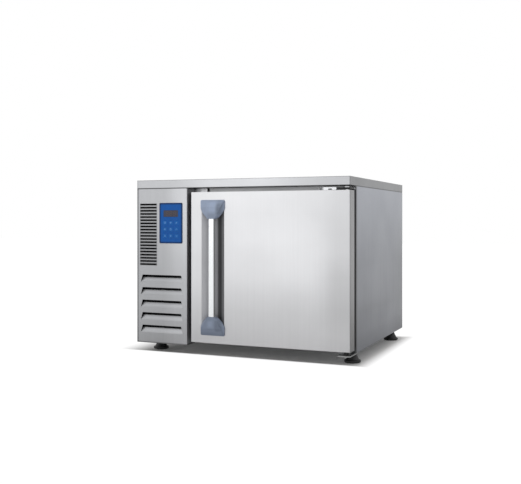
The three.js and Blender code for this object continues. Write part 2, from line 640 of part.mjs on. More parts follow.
function controlPanel() {
  const front = -FIT - PANEL_THICKNESS;
  const overlayBack = -FIT;
  const displayZ = panel.top - DISPLAY_TOP_MARGIN - DISPLAY_HEIGHT / 2;
  let overlay = faceplate(panel.middle, (panel.top + panel.bottom) / 2, PANEL_WIDTH, PANEL_HEIGHT,
    PANEL_CORNER, front, overlayBack);
  const opening = (x, z, width, height, corner) => faceplate(x, z, width + 2 * FIT, height + 2 * FIT,
    corner + FIT, front - OVERCUT, overlayBack + OVERCUT);
  overlay = cut(overlay, opening(panel.middle, displayZ, DISPLAY_WIDTH, DISPLAY_HEIGHT, DISPLAY_CORNER));
  for (let row = 0; row < KEY_ROWS; row += 1) {
    for (let column = 0; column < KEY_COLUMNS; column += 1) {
      const x = panel.middle + (column - (KEY_COLUMNS - 1) / 2) * KEY_PITCH;
      const z = panel.top - KEY_TOP_MARGIN - row * KEY_PITCH;
      overlay = cut(overlay, opening(x, z, KEY_WIDTH, KEY_HEIGHT, KEY_CORNER));
      const key = faceplate(x, z, KEY_WIDTH, KEY_HEIGHT, KEY_CORNER, front - KEY_PROUD,
        front - KEY_PROUD + KEY_DEPTH);
      add(`key_${row * KEY_COLUMNS + column + 1}`, key, finish.keyBlue());
    }
  }
  add('control_panel', overlay, finish.blue());
  const glass = faceplate(panel.middle, displayZ, DISPLAY_WIDTH, DISPLAY_HEIGHT, DISPLAY_CORNER,
    front, SHEET);
  add('display_window', glass, finish.smoke());
  const boxFront = front - KEY_PROUD + KEY_DEPTH + KEY_TRAVEL + FIT;
  const box = block(CONTROL_BOX_SIDE, COLUMN_WIDTH - CONTROL_BOX_SIDE, Math.max(boxFront, inside),
    CONTROL_BOX_DEPTH, panel.bottom - CONTROL_BOX_RISE, panel.top + CONTROL_BOX_RISE);
  const vents = block(SLOT_LEFT - CONTROL_BOX_LID / 2, PANEL_LEFT - CONTROL_BOX_LID, 0,
    CONTROL_BOX_DEPTH - CONTROL_BOX_LID, panel.bottom, panel.top);
  add('control_box', cut(box, vents), finish.graphite());
}

// ---------------------------------------------------------------- refrigeration
/** A finned coil: upright fins along X, their grooves open towards -Y, its lowest corner at 0. */
function finnedCoil(width, depth, height, pitch) {
  const groove = depth * FIN_GROOVE;
  const count = Math.floor((width - pitch) / pitch);
  const start = (width - count * pitch) / 2 + (pitch - FIN_GAP) / 2;
  const points = [[0, 0]];
  for (let i = 0; i < count; i += 1) {
    const x = start + i * pitch;
    points.push([x, 0], [x, groove], [x + FIN_GAP, groove], [x + FIN_GAP, 0]);
  }
  points.push([width, 0], [width, depth], [0, depth]);
  return prism(outline(points), 'z', 0, height);
}

/** An axial fan about its own Z: a bored hub with twisted blades. */
function fan(radius) {
  const half = FAN_DEPTH / 2;
  const hub = cylinder(FAN_HUB_RADIUS, -half, half);
  const section = (share) => {
    const r = THREE.MathUtils.lerp(FAN_HUB_RADIUS - BLADE_ROOT_SINK, radius, share);
    const pitch = THREE.MathUtils.degToRad(THREE.MathUtils.lerp(BLADE_ROOT_PITCH, BLADE_TIP_PITCH, share));
    const chord = THREE.MathUtils.lerp(BLADE_ROOT_CHORD, BLADE_TIP_CHORD, share);
    const along = point(0, Math.cos(pitch), Math.sin(pitch));
    const across = point(0, -Math.sin(pitch), Math.cos(pitch));
    const limit = (half - BLADE_THICKNESS) / Math.sin(pitch);
    const reach = Math.min(chord / 2, limit);
    const corner = (u, v) => point(r, 0, 0).addScaledVector(along, u * reach)
      .addScaledVector(across, v * BLADE_THICKNESS / 2);
    return [corner(-1, -BLADE_EDGE), corner(0, -1), corner(1, -BLADE_EDGE),
      corner(1, BLADE_EDGE), corner(0, 1), corner(-1, BLADE_EDGE)];
  };
  const blade = loft(Array.from({ length: BLADE_SECTIONS }, (_, i) => section(i / (BLADE_SECTIONS - 1))));
  const blades = Array.from({ length: FAN_BLADES }, (_, i) => blade.rotate([0, 0, i * 360 / FAN_BLADES]));
  const bore = cylinder(SHAFT_RADIUS + FIT, -half - OVERCUT, -half + SHAFT_LENGTH + FIT, SMALL_SIDES);
  return cut(join(hub, ...blades), bore);
}

/** A fan motor of some length about its own Z, its back at 0 and its shaft reaching into a fan. */
function fanMotor(length) {
  return revolve([
    [0, 0], [MOTOR_RADIUS, 0], [MOTOR_RADIUS, length - MOTOR_NOSE], [MOTOR_RADIUS - MOTOR_NOSE, length],
    [SHAFT_RADIUS, length], [SHAFT_RADIUS, length + FIT + SHAFT_LENGTH],
    [0, length + FIT + SHAFT_LENGTH],
  ]);
}

function condenser() {
  const width = COLUMN_WIDTH - 2 * COIL_SIDE_GAP;
  add('condenser_coil', finnedCoil(width, COIL_DEPTH, COIL_HEIGHT, FIN_PITCH), finish.aluminium(),
    point(COIL_SIDE_GAP, COIL_FRONT, coil.bottom));
  const [left, right] = [COIL_SIDE_GAP, COLUMN_WIDTH - COIL_SIDE_GAP];
  const plateFront = coil.back + FIT;
  const plate = block(left, right, plateFront, plateFront + SHEET, coil.bottom, coil.bottom + COIL_HEIGHT);
  const hole = cylinder(CONDENSER_FAN_RADIUS + FAN_TUBE_CLEARANCE, -OVERCUT, SHEET + OVERCUT);
  const holed = cut(plate, placed(hole, columnMiddle, plateFront + SHEET, condenserFan.z, 90));
  const strapBack = plateFront + SHROUD_REACH;
  const arms = [left, right - SHEET].map((x) => block(x, x + SHEET, plateFront, strapBack,
    condenserFan.z - SHROUD_ARM, condenserFan.z + SHROUD_ARM));
  const strap = block(left, right, strapBack - SHEET, strapBack,
    condenserFan.z - SHROUD_ARM, condenserFan.z + SHROUD_ARM);
  add('condenser_shroud', join(holed, ...arms, strap), finish.darkSteel());
  const fanBack = condenserFan.y + FAN_DEPTH / 2;
  const motorLength = strapBack - SHEET - FIT - fanBack - FIT;
  const forward = new THREE.Euler(Math.PI / 2, 0, 0);
  add('condenser_fan_motor', fanMotor(motorLength), finish.black(),
    point(columnMiddle, strapBack - SHEET - FIT, condenserFan.z), forward);
  add('condenser_fan', fan(CONDENSER_FAN_RADIUS), finish.graphite(),
    point(columnMiddle, condenserFan.y, condenserFan.z), forward);
}

function compressor() {
  const half = COMPRESSOR_RADIUS + COMPRESSOR_PLATE_MARGIN;
  const plate = block(columnMiddle - half, columnMiddle + half, COMPRESSOR_PLACE - half,
    COMPRESSOR_PLACE + half, baseTop, baseTop + COMPRESSOR_PLATE_THICKNESS);
  add('compressor_plate', plate, finish.darkSteel());
  const dome = Array.from({ length: COMPRESSOR_DOME_STEPS + 1 }, (_, i) => {
    const angle = (i / COMPRESSOR_DOME_STEPS) * Math.PI / 2;
    return [COMPRESSOR_RADIUS * Math.cos(angle),
      COMPRESSOR_SHOULDER + (COMPRESSOR_HEIGHT - COMPRESSOR_SHOULDER) * Math.sin(angle)];
  });
  const seam = COMPRESSOR_RADIUS + COMPRESSOR_SEAM_PROUD;
  const [seamBottom, seamTop] = [-1, 1].map((side) => COMPRESSOR_SEAM + side * COMPRESSOR_SEAM_WIDTH / 2);
  const shell = revolve([
    [0, COMPRESSOR_LEG], [COMPRESSOR_RADIUS - COMPRESSOR_ROUND, COMPRESSOR_LEG],
    [COMPRESSOR_RADIUS, COMPRESSOR_LEG + COMPRESSOR_ROUND], [COMPRESSOR_RADIUS, seamBottom],
    [seam, seamBottom], [seam, seamTop], [COMPRESSOR_RADIUS, seamTop], ...dome,
  ]);
  const leg = cylinder(COMPRESSOR_LEG_RADIUS, 0, COMPRESSOR_LEG + COMPRESSOR_LEG_SINK, SMALL_SIDES)
    .translate([COMPRESSOR_LEG_CIRCLE, 0, 0]);
  const legs = Array.from({ length: COMPRESSOR_LEG_COUNT }, (_, i) =>
    leg.rotate([0, 0, (i + 0.5) * 360 / COMPRESSOR_LEG_COUNT]));
  add('compressor', join(shell, ...legs), finish.black(),
    point(columnMiddle, COMPRESSOR_PLACE, baseTop + COMPRESSOR_PLATE_THICKNESS + FIT));
}

function refrigerantPipes() {
  const drier = { x: COLUMN_WIDTH - DRIER_SIDE_GAP, y: DRIER_PLACE, bottom: baseTop + DRIER_RISE };
  drier.top = drier.bottom + DRIER_LENGTH;
  const neck = PIPE_RADIUS + DRIER_NECK;
  const capsule = revolve([
    [0, drier.bottom], [neck, drier.bottom], [DRIER_RADIUS, drier.bottom + DRIER_CONE],
    [DRIER_RADIUS, drier.top - DRIER_CONE], [neck, drier.top], [0, drier.top],
  ], SMALL_SIDES).translate([drier.x, drier.y, 0]);
  const coilTop = coil.bottom + COIL_HEIGHT;
  const coilMiddle = coil.back - COIL_DEPTH / 2;
  const shellTop = baseTop + COMPRESSOR_PLATE_THICKNESS + FIT + COMPRESSOR_HEIGHT;
  const run = coilTop + DISCHARGE_RISE;
  const top = run + DISCHARGE_HUMP;
  add('discharge_line', pipe([
    point(columnMiddle, COMPRESSOR_PLACE, shellTop + FIT), point(columnMiddle, COMPRESSOR_PLACE, run),
    point(columnMiddle, COMPRESSOR_PLACE - DISCHARGE_BEND, top),
    point(columnMiddle, coil.back + DISCHARGE_BEND, top),
    point(columnMiddle, coilMiddle, run), point(columnMiddle, coilMiddle, coilTop + FIT),
  ]), finish.copper());
  const inlet = point(COIL_SIDE_GAP + LIQUID_SIDE, coil.back + FIT + inside, coil.bottom + LIQUID_INLET);
  const liquid = pipe([
    point(drier.x, drier.y, drier.bottom + OVERCUT), point(drier.x, drier.y, drier.bottom - LIQUID_DROP),
    point(columnMiddle, drier.y - LIQUID_SWEEP, baseTop + LIQUID_RISE),
    point(inlet.x, inlet.y + LIQUID_LEAD + LIQUID_BEND, baseTop + LIQUID_RISE),
    point(inlet.x, inlet.y + LIQUID_LEAD, inlet.z), point(inlet.x, inlet.y, inlet.z),
  ]);
  add('liquid_line', join(liquid, capsule), finish.copper());
  const capillaryZ = drier.top + CAPILLARY_RISE;
  add('capillary_line', pipe([
    point(drier.x, drier.y, drier.top + FIT), point(drier.x, drier.y, drier.top + CAPILLARY_RISE / 2),
    point(drier.x, drier.y + CAPILLARY_SWEEP, capillaryZ),
    point(partitionLeft - LINE_LEAD, drier.y + CAPILLARY_SWEEP, capillaryZ),
    point(partitionLeft - FIT, drier.y + CAPILLARY_SWEEP, capillaryZ),
  ], CAPILLARY_RADIUS, CAPILLARY_STEPS), finish.copper());
  const suctionBack = COMPRESSOR_PLACE + SUCTION_BACK;
  const suctionZ = shellTop + SUCTION_RISE;
  const stubZ = shellTop - SUCTION_DROP;
  add('suction_line', pipe([
    point(partitionLeft - FIT, suctionBack, suctionZ),
    point(partitionLeft - LINE_LEAD, suctionBack, suctionZ),
    point(columnMiddle + SUCTION_SWEEP, suctionBack, suctionZ),
    point(columnMiddle, suctionBack, shellTop),
    point(columnMiddle, suctionBack, stubZ + SUCTION_BEND),
    point(columnMiddle, COMPRESSOR_PLACE + COMPRESSOR_RADIUS + FIT + PIPE_RADIUS, stubZ),
  ]), finish.copper());
}

// ---------------------------------------------------------------- chamber fittings
/** The arc slots of the fan grille, as one cutting body about its own Z. */
function grilleSlots() {
  const bodies = [];
  for (let ring = 0; ring < GRILLE_RINGS; ring += 1) {
    const r = GRILLE_INNER + ring * GRILLE_PITCH;
    const gap = GRILLE_BRIDGE_WIDTH / r;
    for (let i = 0; i < GRILLE_BRIDGES; i += 1) {
      const start = (i / GRILLE_BRIDGES) * 2 * Math.PI + gap / 2;
      const end = ((i + 1) / GRILLE_BRIDGES) * 2 * Math.PI - gap / 2;
      const shape = new THREE.Shape();
      shape.absarc(0, 0, r, start, end);
      shape.absarc(0, 0, r + GRILLE_SLOT, end, start, true);
      bodies.push(prism(shape, 'z', -SHEET - OVERCUT, OVERCUT, GRILLE_ARC_STEPS));
    }
  }
  return join(...bodies);
}

function evaporator() {
  const length = baffle.back - baffle.front - 2 * EVAPORATOR_END_MARGIN;
  const height = chamber.top - chamber.bottom - 2 * EVAPORATOR_FLOOR_MARGIN;
  const coilFace = chamber.left + FIT + EVAPORATOR_DEPTH;
  const fins = finnedCoil(length, EVAPORATOR_DEPTH, height, EVAPORATOR_FIN_PITCH);
  add('evaporator_coil', fins, finish.aluminium(), point(coilFace, baffle.front + EVAPORATOR_END_MARGIN,
    chamber.bottom + EVAPORATOR_FLOOR_MARGIN), new THREE.Euler(0, 0, Math.PI / 2));
  const bracketFace = coilFace + FIT + SHEET;
  const bracket = block(coilFace + FIT, bracketFace, evaporatorFan.y - FAN_BRACKET_WIDTH / 2,
    evaporatorFan.y + FAN_BRACKET_WIDTH / 2, evaporatorFan.z - FAN_BRACKET_HEIGHT / 2,
    evaporatorFan.z + FAN_BRACKET_HEIGHT / 2);
  add('fan_bracket', bracket, finish.darkSteel());
  const fanBack = evaporatorFan.x - FAN_DEPTH / 2;
  const motorLength = fanBack - FIT - bracketFace - FIT;
  const sideways = new THREE.Euler(0, Math.PI / 2, 0);
  add('evaporator_fan_motor', fanMotor(motorLength), finish.black(),
    point(bracketFace + FIT, evaporatorFan.y, evaporatorFan.z), sideways);
  add('evaporator_fan', fan(EVAPORATOR_FAN_RADIUS), finish.graphite(),
    point(evaporatorFan.x, evaporatorFan.y, evaporatorFan.z), sideways);
}

function evaporatorBaffle() {
  const face = block(baffleFace - SHEET, baffleFace, baffle.front, baffle.back, baffle.bottom, baffle.top);
  const returns = [baffle.front, baffle.back - SHEET].map((y) =>
    block(chamber.left + FIT, baffleFace, y, y + SHEET, baffle.bottom, baffle.top));
  let sheet = join(face, ...returns);
  const middle = (chamber.left + baffleFace) / 2;
  for (let i = 0; i < DUCT_SLOT_COUNT; i += 1) {
    const z = evaporatorFan.z + (i - (DUCT_SLOT_COUNT - 1) / 2) * DUCT_SLOT_PITCH;
    sheet = cut(sheet, block(middle - DUCT_SLOT_WIDTH / 2, middle + DUCT_SLOT_WIDTH / 2,
      baffle.front - OVERCUT, baffle.back + OVERCUT, z - DUCT_SLOT_HEIGHT / 2, z + DUCT_SLOT_HEIGHT / 2));
  }
  const grille = grilleSlots().rotate([0, 90, 0])
    .translate([baffleFace, evaporatorFan.y, evaporatorFan.z]);
  const room = prism(chamberSection(-FIT), 'y', baffle.front - OVERCUT, baffle.back + OVERCUT);
  add('evaporator_baffle', cut(sheet, grille).intersect(room), finish.steel());
}

/** A punched tray support with ledges towards +X, its plate's outer face at x = 0. */
function trayRack(length) {
  const top = FIRST_LEDGE + (TRAY_LEVELS - 1) * TRAY_PITCH + RACK_END_RISE;
  const points = [[0, FIRST_LEDGE - RACK_END_RISE], [SHEET, FIRST_LEDGE - RACK_END_RISE]];
  for (let level = 0; level < TRAY_LEVELS; level += 1) {
    const z = FIRST_LEDGE + level * TRAY_PITCH;
    points.push([SHEET, z - LEDGE_THICKNESS], [SHEET + LEDGE_WIDTH, z - LEDGE_THICKNESS],
      [SHEET + LEDGE_WIDTH, z], [SHEET, z]);
  }
  points.push([SHEET, top], [0, top]);
  let rack = prism(outline(points), 'y', 0, length);
  const slots = Math.floor((length - RACK_SLOT_PITCH + RACK_SLOT_WIDTH) / RACK_SLOT_PITCH);
  for (let level = 0; level < TRAY_LEVELS - 1; level += 1) {
    const z = FIRST_LEDGE + (level + 0.5) * TRAY_PITCH;
    for (let i = 0; i < slots; i += 1) {
      const y = length / 2 + (i - (slots - 1) / 2) * RACK_SLOT_PITCH;
      rack = cut(rack, block(-OVERCUT, SHEET + OVERCUT, y - RACK_SLOT_WIDTH / 2,
        y + RACK_SLOT_WIDTH / 2, z - RACK_SLOT_HEIGHT / 2, z + RACK_SLOT_HEIGHT / 2));
    }
  }
  return rack;
}

function trayRacks() {
  const front = bodyFront + RACK_FRONT_GAP;
  const length = chamber.back - SHEET - RACK_BACK_GAP - front;
  add('tray_rack_left', trayRack(length), finish.steel(), point(baffleFace + FIT, front, chamber.bottom));
  add('tray_rack_right', trayRack(length), finish.steel(),
    point(chamber.right - FIT, front + length, chamber.bottom), new THREE.Euler(0, 0, Math.PI));
}

// ---------------------------------------------------------------- door
/** The pan's section in plan, its walls moved outwards by a margin. */
function panSection(margin, front) {
  const [rim, floor] = [PAN_WIDTH / 2, PAN_FLOOR_WIDTH / 2];
  const depth = PAN_DEPTH + margin;
  const wall = Math.hypot(rim - floor, PAN_DEPTH);
  const side = margin * wall / PAN_DEPTH; // a slanting wall's thickness measured along X
  const rise = margin * (rim - floor) / PAN_DEPTH;
  return outline([
    [handle.middle - rim - side, front], [handle.middle + rim + side, front],
    [handle.middle + rim + side, 0], [handle.middle + floor + side - rise, depth],
    [handle.middle - floor - side + rise, depth], [handle.middle - rim - side, 0],
  ].map(([x, y]) => [x, Math.max(y, front)]));
}

function doorShell() {
  const skin = foldedTray(door.left, door.right, 0, DOOR_SKIN_DEPTH, door.bottom, door.top);
  const mouth = block(handle.middle - PAN_WIDTH / 2, handle.middle + PAN_WIDTH / 2, -OVERCUT,
    SHEET + FIT, handle.bottom + PAN_END_COVER, handle.top - PAN_END_COVER);
  add('door_outer_skin', cut(skin, mouth, ...bushHoles()), finish.steel());
  const filling = foldedOutline(door.left + inside, door.right - inside, inside, DOOR_SKIN_DEPTH,
    FOLD_RADIUS - SHEET);
  const foam = prism(filling, 'z', door.bottom + inside, door.top - inside);
  add('door_foam', cut(foam, panEnvelope(), ...bushHoles()), finish.foam());
  const margin = GASKET_WIDTH + DOOR_LINER_MARGIN;
  const [x0, x1] = [gasket.left + margin, gasket.right - margin];
  const [z0, z1] = [gasket.bottom + margin, gasket.top - margin];
  const ring = (y, draw) => [point(x0 + draw, y, z0 + draw), point(x1 - draw, y, z0 + draw),
    point(x1 - draw, y, z1 - draw), point(x0 + draw, y, z1 - draw)];
  const plate = block(door.left + inside, door.right - inside, door.linerFront, door.back,
    door.bottom + inside, door.top - inside);
  const raised = loft([ring(door.linerFront, 0), ring(door.back, 0),
    ring(door.back + DOOR_LINER_RELIEF, DOOR_LINER_SLOPE)]);
  const under = loft([ring(door.linerFront - OVERCUT, SHEET), ring(door.linerFront, SHEET),
    ring(door.linerFront + DOOR_LINER_RELIEF, DOOR_LINER_SLOPE + SHEET)]);
  add('door_inner_liner', cut(join(plate, raised), under), finish.steel());
}

function doorGasket() {
  const ring = (inset, width, from, to) => {
    const box = (margin, y0, y1) => block(gasket.left + margin, gasket.right - margin, y0, y1,
      gasket.bottom + margin, gasket.top - margin);
    return cut(box(inset, from, to), box(inset + width, from - OVERCUT, to + OVERCUT));
  };
  const front = door.back + FIT;
  const baseBack = front + GASKET_BASE_DEPTH;
  const lipInset = (GASKET_WIDTH - GASKET_LIP_WIDTH) / 2;
  const base = ring(0, GASKET_WIDTH, front, baseBack);
  const lip = ring(lipInset, GASKET_LIP_WIDTH, baseBack - GASKET_LIP_SINK, FRONT_OVERHANG - FIT);
  add('door_gasket', join(base, lip), finish.rubber());
}

// ---------------------------------------------------------------- handle
const panBottom = handle.bottom + PAN_END_COVER;
const panTop = handle.top - PAN_END_COVER;

/** The space that the recessed pan and its flange take in the door. */
function panEnvelope() {
  const body = prism(panSection(PAN_WALL + FIT, inside - FIT), 'z', panBottom - PAN_WALL - FIT,
    panTop + PAN_WALL + FIT);
  const flange = block(handle.middle - PAN_WIDTH / 2 - PAN_FLANGE - FIT,
    handle.middle + PAN_WIDTH / 2 + PAN_FLANGE + FIT, 0, inside + PAN_WALL + FIT,
    panBottom - PAN_FLANGE - FIT, panTop + PAN_FLANGE + FIT);
  return join(body, flange);
}

function handlePan() {
  const body = prism(panSection(PAN_WALL, inside), 'z', panBottom - PAN_WALL, panTop + PAN_WALL);
  const flange = block(handle.middle - PAN_WIDTH / 2 - PAN_FLANGE, handle.middle + PAN_WIDTH / 2 + PAN_FLANGE,
    inside, inside + PAN_WALL, panBottom - PAN_FLANGE, panTop + PAN_FLANGE);
  const hollow = prism(panSection(0, -OVERCUT), 'z', panBottom, panTop);
  add('handle_pan', cut(join(body, flange), hollow), finish.steel());
}

/** The bar's section in plan, grown by a margin. */
const barSection = (margin) => roundedRectangle(handle.middle - BAR_WIDTH / 2 - margin,
  handle.middle + BAR_WIDTH / 2 + margin, -BAR_PROUD - margin, -BAR_PROUD + BAR_THICKNESS + margin,
  BAR_CORNER);

const barEnds = [handle.bottom + CAP_LENGTH - BAR_SOCKET, handle.top - CAP_LENGTH + BAR_SOCKET];

/** The cap's bell outline as [x, z], the flat end at z = 0 and the bar leaving at CAP_LENGTH. */
function capOutline() {
  const [half, mouth] = [HANDLE_WIDTH / 2, BAR_WIDTH / 2 + CAP_MOUTH_MARGIN];
  const right = [[half - CAP_CORNER, 0], [half, CAP_CORNER], [half, CAP_STRAIGHT]];
  for (let i = 1; i <= CAP_ARC_STEPS; i += 1) {
    const angle = (i / CAP_ARC_STEPS) * Math.PI / 2;
    right.push([mouth + (half - mouth) * Math.cos(angle) ** (2 / CAP_BELLY),
      CAP_STRAIGHT + (CAP_LENGTH - CAP_STRAIGHT) * Math.sin(angle) ** (2 / CAP_BELLY)]);
  }
  return [...right, ...right.map(([x, z]) => [-x, z]).reverse()];
}

/** An end cap: an upright rim, and flanks up to a front face that narrows towards the bar. */
function handleCap() {
  const base = capOutline();
  const mouth = BAR_WIDTH / 2 + CAP_MOUTH_MARGIN;
  const face = ([x, z]) => {
    const half = THREE.MathUtils.lerp(HANDLE_WIDTH / 2 - CAP_FACE_MARGIN, mouth, z / CAP_LENGTH);
    const faceZ = THREE.MathUtils.lerp(CAP_FRONT_SLOPE, CAP_LENGTH, z / CAP_LENGTH);
    return [Math.sign(x) * Math.min(Math.abs(x), half), faceZ];
  };
  const ring = (shape, y) => shape.map(([x, z]) => point(x, y, z));
  return loft([ring(base, -FIT), ring(base, -CAP_RIM), ring(base.map(face), -CAP_PROUD)]);
}

function handleParts() {
  add('handle_bar', prism(barSection(0), 'z', ...barEnds), finish.aluminium());
  const socket = prism(barSection(FIT), 'z', barEnds[0] - FIT, barEnds[1] + FIT);
  const lower = handleCap().translate([handle.middle, 0, handle.bottom]);
  const upper = handleCap().mirror([0, 0, 1]).translate([handle.middle, 0, handle.top]);
  add('handle_cap_lower', cut(lower, socket), finish.blueGrey());
  add('handle_cap_upper', cut(upper, socket), finish.blueGrey());
}

// ---------------------------------------------------------------- hinges
/** A pivot bush about its own Z, bored from below, its mouth at 0. */
function bush() {
  const [bore, outer] = [PIN_RADIUS + FIT, PIN_RADIUS + FIT + BUSH_WALL];
  const depth = PIN_REACH + FIT;
  return revolve([[bore, 0], [outer, 0], [outer, depth + BUSH_CAP], [0, depth + BUSH_CAP], [0, depth],
    [bore, depth], [bore, 0]], SMALL_SIDES);
}

/** Pockets for the two bushes in the door. */
function bushHoles() {
  const radius = PIN_RADIUS + BUSH_WALL + 2 * FIT;
  const length = PIN_REACH + BUSH_CAP + 2 * FIT + inside;
  const pocket = cylinder(radius, -OVERCUT, length, SMALL_SIDES);
  return [
    pocket.translate([pivot.x, pivot.y, door.bottom]),
    pocket.rotate([180, 0, 0]).translate([pivot.x, pivot.y, door.top]),
  ];
}

function hinges() {
  const right = CABINET_WIDTH - BRACKET_SIDE_INSET;
  const upper = { bottom: door.top + UPPER_BRACKET_RISE, left: right - UPPER_BRACKET_WIDTH };
  upper.top = upper.bottom + UPPER_BRACKET_THICKNESS;
  const upperPlate = block(upper.left, right, BRACKET_FRONT, columnBack, upper.bottom, upper.top);
  const flange = block(upper.left, CABINET_WIDTH - UPPER_FLANGE_END, columnBack - UPPER_FLANGE_THICKNESS,
    columnBack, upper.top - UPPER_FLANGE_HEIGHT, upper.top);
  const pinHole = cylinder(PIN_RADIUS + FIT, -OVERCUT, UPPER_BRACKET_THICKNESS + OVERCUT, SMALL_SIDES);
  add('hinge_bracket_upper', cut(join(upperPlate, flange), placed(pinHole, pivot.x, pivot.y, upper.bottom)),
    finish.chrome());
  const upperPin = revolve([
    [0, door.top - PIN_REACH], [PIN_RADIUS, door.top - PIN_REACH], [PIN_RADIUS, upper.top + FIT],
    [PIN_HEAD_RADIUS, upper.top + FIT], [PIN_HEAD_RADIUS, upper.top + FIT + PIN_HEAD_HEIGHT],
    [0, upper.top + FIT + PIN_HEAD_HEIGHT],
  ], SMALL_SIDES);
  add('hinge_pin_upper', upperPin, finish.chrome(), point(pivot.x, pivot.y, 0));
  add('hinge_bush_upper', bush(), finish.nylon(), point(pivot.x, pivot.y, door.top),
    new THREE.Euler(Math.PI, 0, 0));

  const lower = { top: bodyBottom - FIT, left: right - LOWER_BRACKET_WIDTH };
  lower.bottom = lower.top - LOWER_BRACKET_THICKNESS;
  const lowerPlate = prism(roundedRectangle(lower.left, right, BRACKET_FRONT,
    FRONT_OVERHANG + LOWER_BRACKET_TAIL, LOWER_BRACKET_CORNER), 'z', lower.bottom, lower.top);
  const knuckle = placed(cylinder(KNUCKLE_RADIUS, 0, door.bottom - FIT - lower.bottom),
    pivot.x, pivot.y, lower.bottom);
  const through = cylinder(PIN_RADIUS + FIT, -OVERCUT, door.bottom - lower.bottom + OVERCUT, SMALL_SIDES);
  add('hinge_bracket_lower', cut(join(lowerPlate, knuckle), placed(through, pivot.x, pivot.y, lower.bottom)),
    finish.chrome());
  const lowerPin = revolve([
    [0, lower.bottom - FIT - PIN_HEAD_HEIGHT], [PIN_HEAD_RADIUS, lower.bottom - FIT - PIN_HEAD_HEIGHT],
    [PIN_HEAD_RADIUS, lower.bottom - FIT], [PIN_RADIUS, lower.bottom - FIT],
    [PIN_RADIUS, door.bottom + PIN_REACH], [0, door.bottom + PIN_REACH],
  ], SMALL_SIDES);
  add('hinge_pin_lower', lowerPin, finish.chrome(), point(pivot.x, pivot.y, 0));
  add('hinge_bush_lower', bush(), finish.nylon(), point(pivot.x, pivot.y, door.bottom));
}

worktop();
cabinetPanels();
backPanel();
insulatedBody();
feet();
servicePanel();
controlPanel();
condenser();
compressor();
refrigerantPipes();
evaporator();
evaporatorBaffle();
trayRacks();
doorShell();
doorGasket();
handlePan();
handleParts();
hinges();

// The origin is the middle of the whole object's footprint, on the floor.
const bounds = new THREE.Box3().setFromObject(chiller);
const centre = bounds.getCenter(point(0, 0, 0));
chiller.position.set(-centre.x, -centre.y, -bounds.min.z);

export default chiller;
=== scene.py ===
"""The looks of a blast chiller with a side service column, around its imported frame.

Lengths are metres in the part's shared frame: X to the right seen from the front, Y from the door
to the back, Z up. Most places come from the boxes of the frame's nodes.
"""

import math

import bmesh
import bpy
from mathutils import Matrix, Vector


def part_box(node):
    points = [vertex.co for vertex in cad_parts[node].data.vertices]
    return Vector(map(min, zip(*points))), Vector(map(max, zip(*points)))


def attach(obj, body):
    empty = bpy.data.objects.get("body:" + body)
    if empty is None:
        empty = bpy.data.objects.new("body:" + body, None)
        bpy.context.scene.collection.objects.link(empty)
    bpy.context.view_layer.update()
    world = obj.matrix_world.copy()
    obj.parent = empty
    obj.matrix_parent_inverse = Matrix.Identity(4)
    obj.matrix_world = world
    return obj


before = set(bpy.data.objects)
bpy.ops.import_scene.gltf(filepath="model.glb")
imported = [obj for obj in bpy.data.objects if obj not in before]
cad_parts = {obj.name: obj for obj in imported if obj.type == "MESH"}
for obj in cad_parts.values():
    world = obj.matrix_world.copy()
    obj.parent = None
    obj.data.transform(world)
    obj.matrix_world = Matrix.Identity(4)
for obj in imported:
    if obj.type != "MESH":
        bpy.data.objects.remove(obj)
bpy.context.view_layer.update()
MM = 0.001

# ------------------------------------------------------------------ camera, fitted to the photograph
IMAGE_WIDTH = 521
IMAGE_HEIGHT = 484
FOCAL_PIXELS = 781.0
HORIZON_ROW = 219.65
CAMERA_YAW = math.radians(23.1)
SENSOR = 36.0  # width in millimetres
CAMERA_FROM_LEFT_SIDE = 1.4259  # to the right of the object's left side
CAMERA_BEFORE_DOOR = 2.2746  # in front of the door's front face
CAMERA_HEIGHT = 0.4521

# ------------------------------------------------------------------ places taken from the frame
worktop_low, worktop_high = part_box("worktop")
door_low, door_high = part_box("door_outer_skin")
LEFT_SIDE = worktop_low.x
DOOR_FRONT = worktop_low.y
BACK = worktop_high.y
WIDTH = worktop_high.x - worktop_low.x


# ------------------------------------------------------------------ material nodes
NOISE_ROUGHNESS = 0.55
SMOOTHEST = 0.02


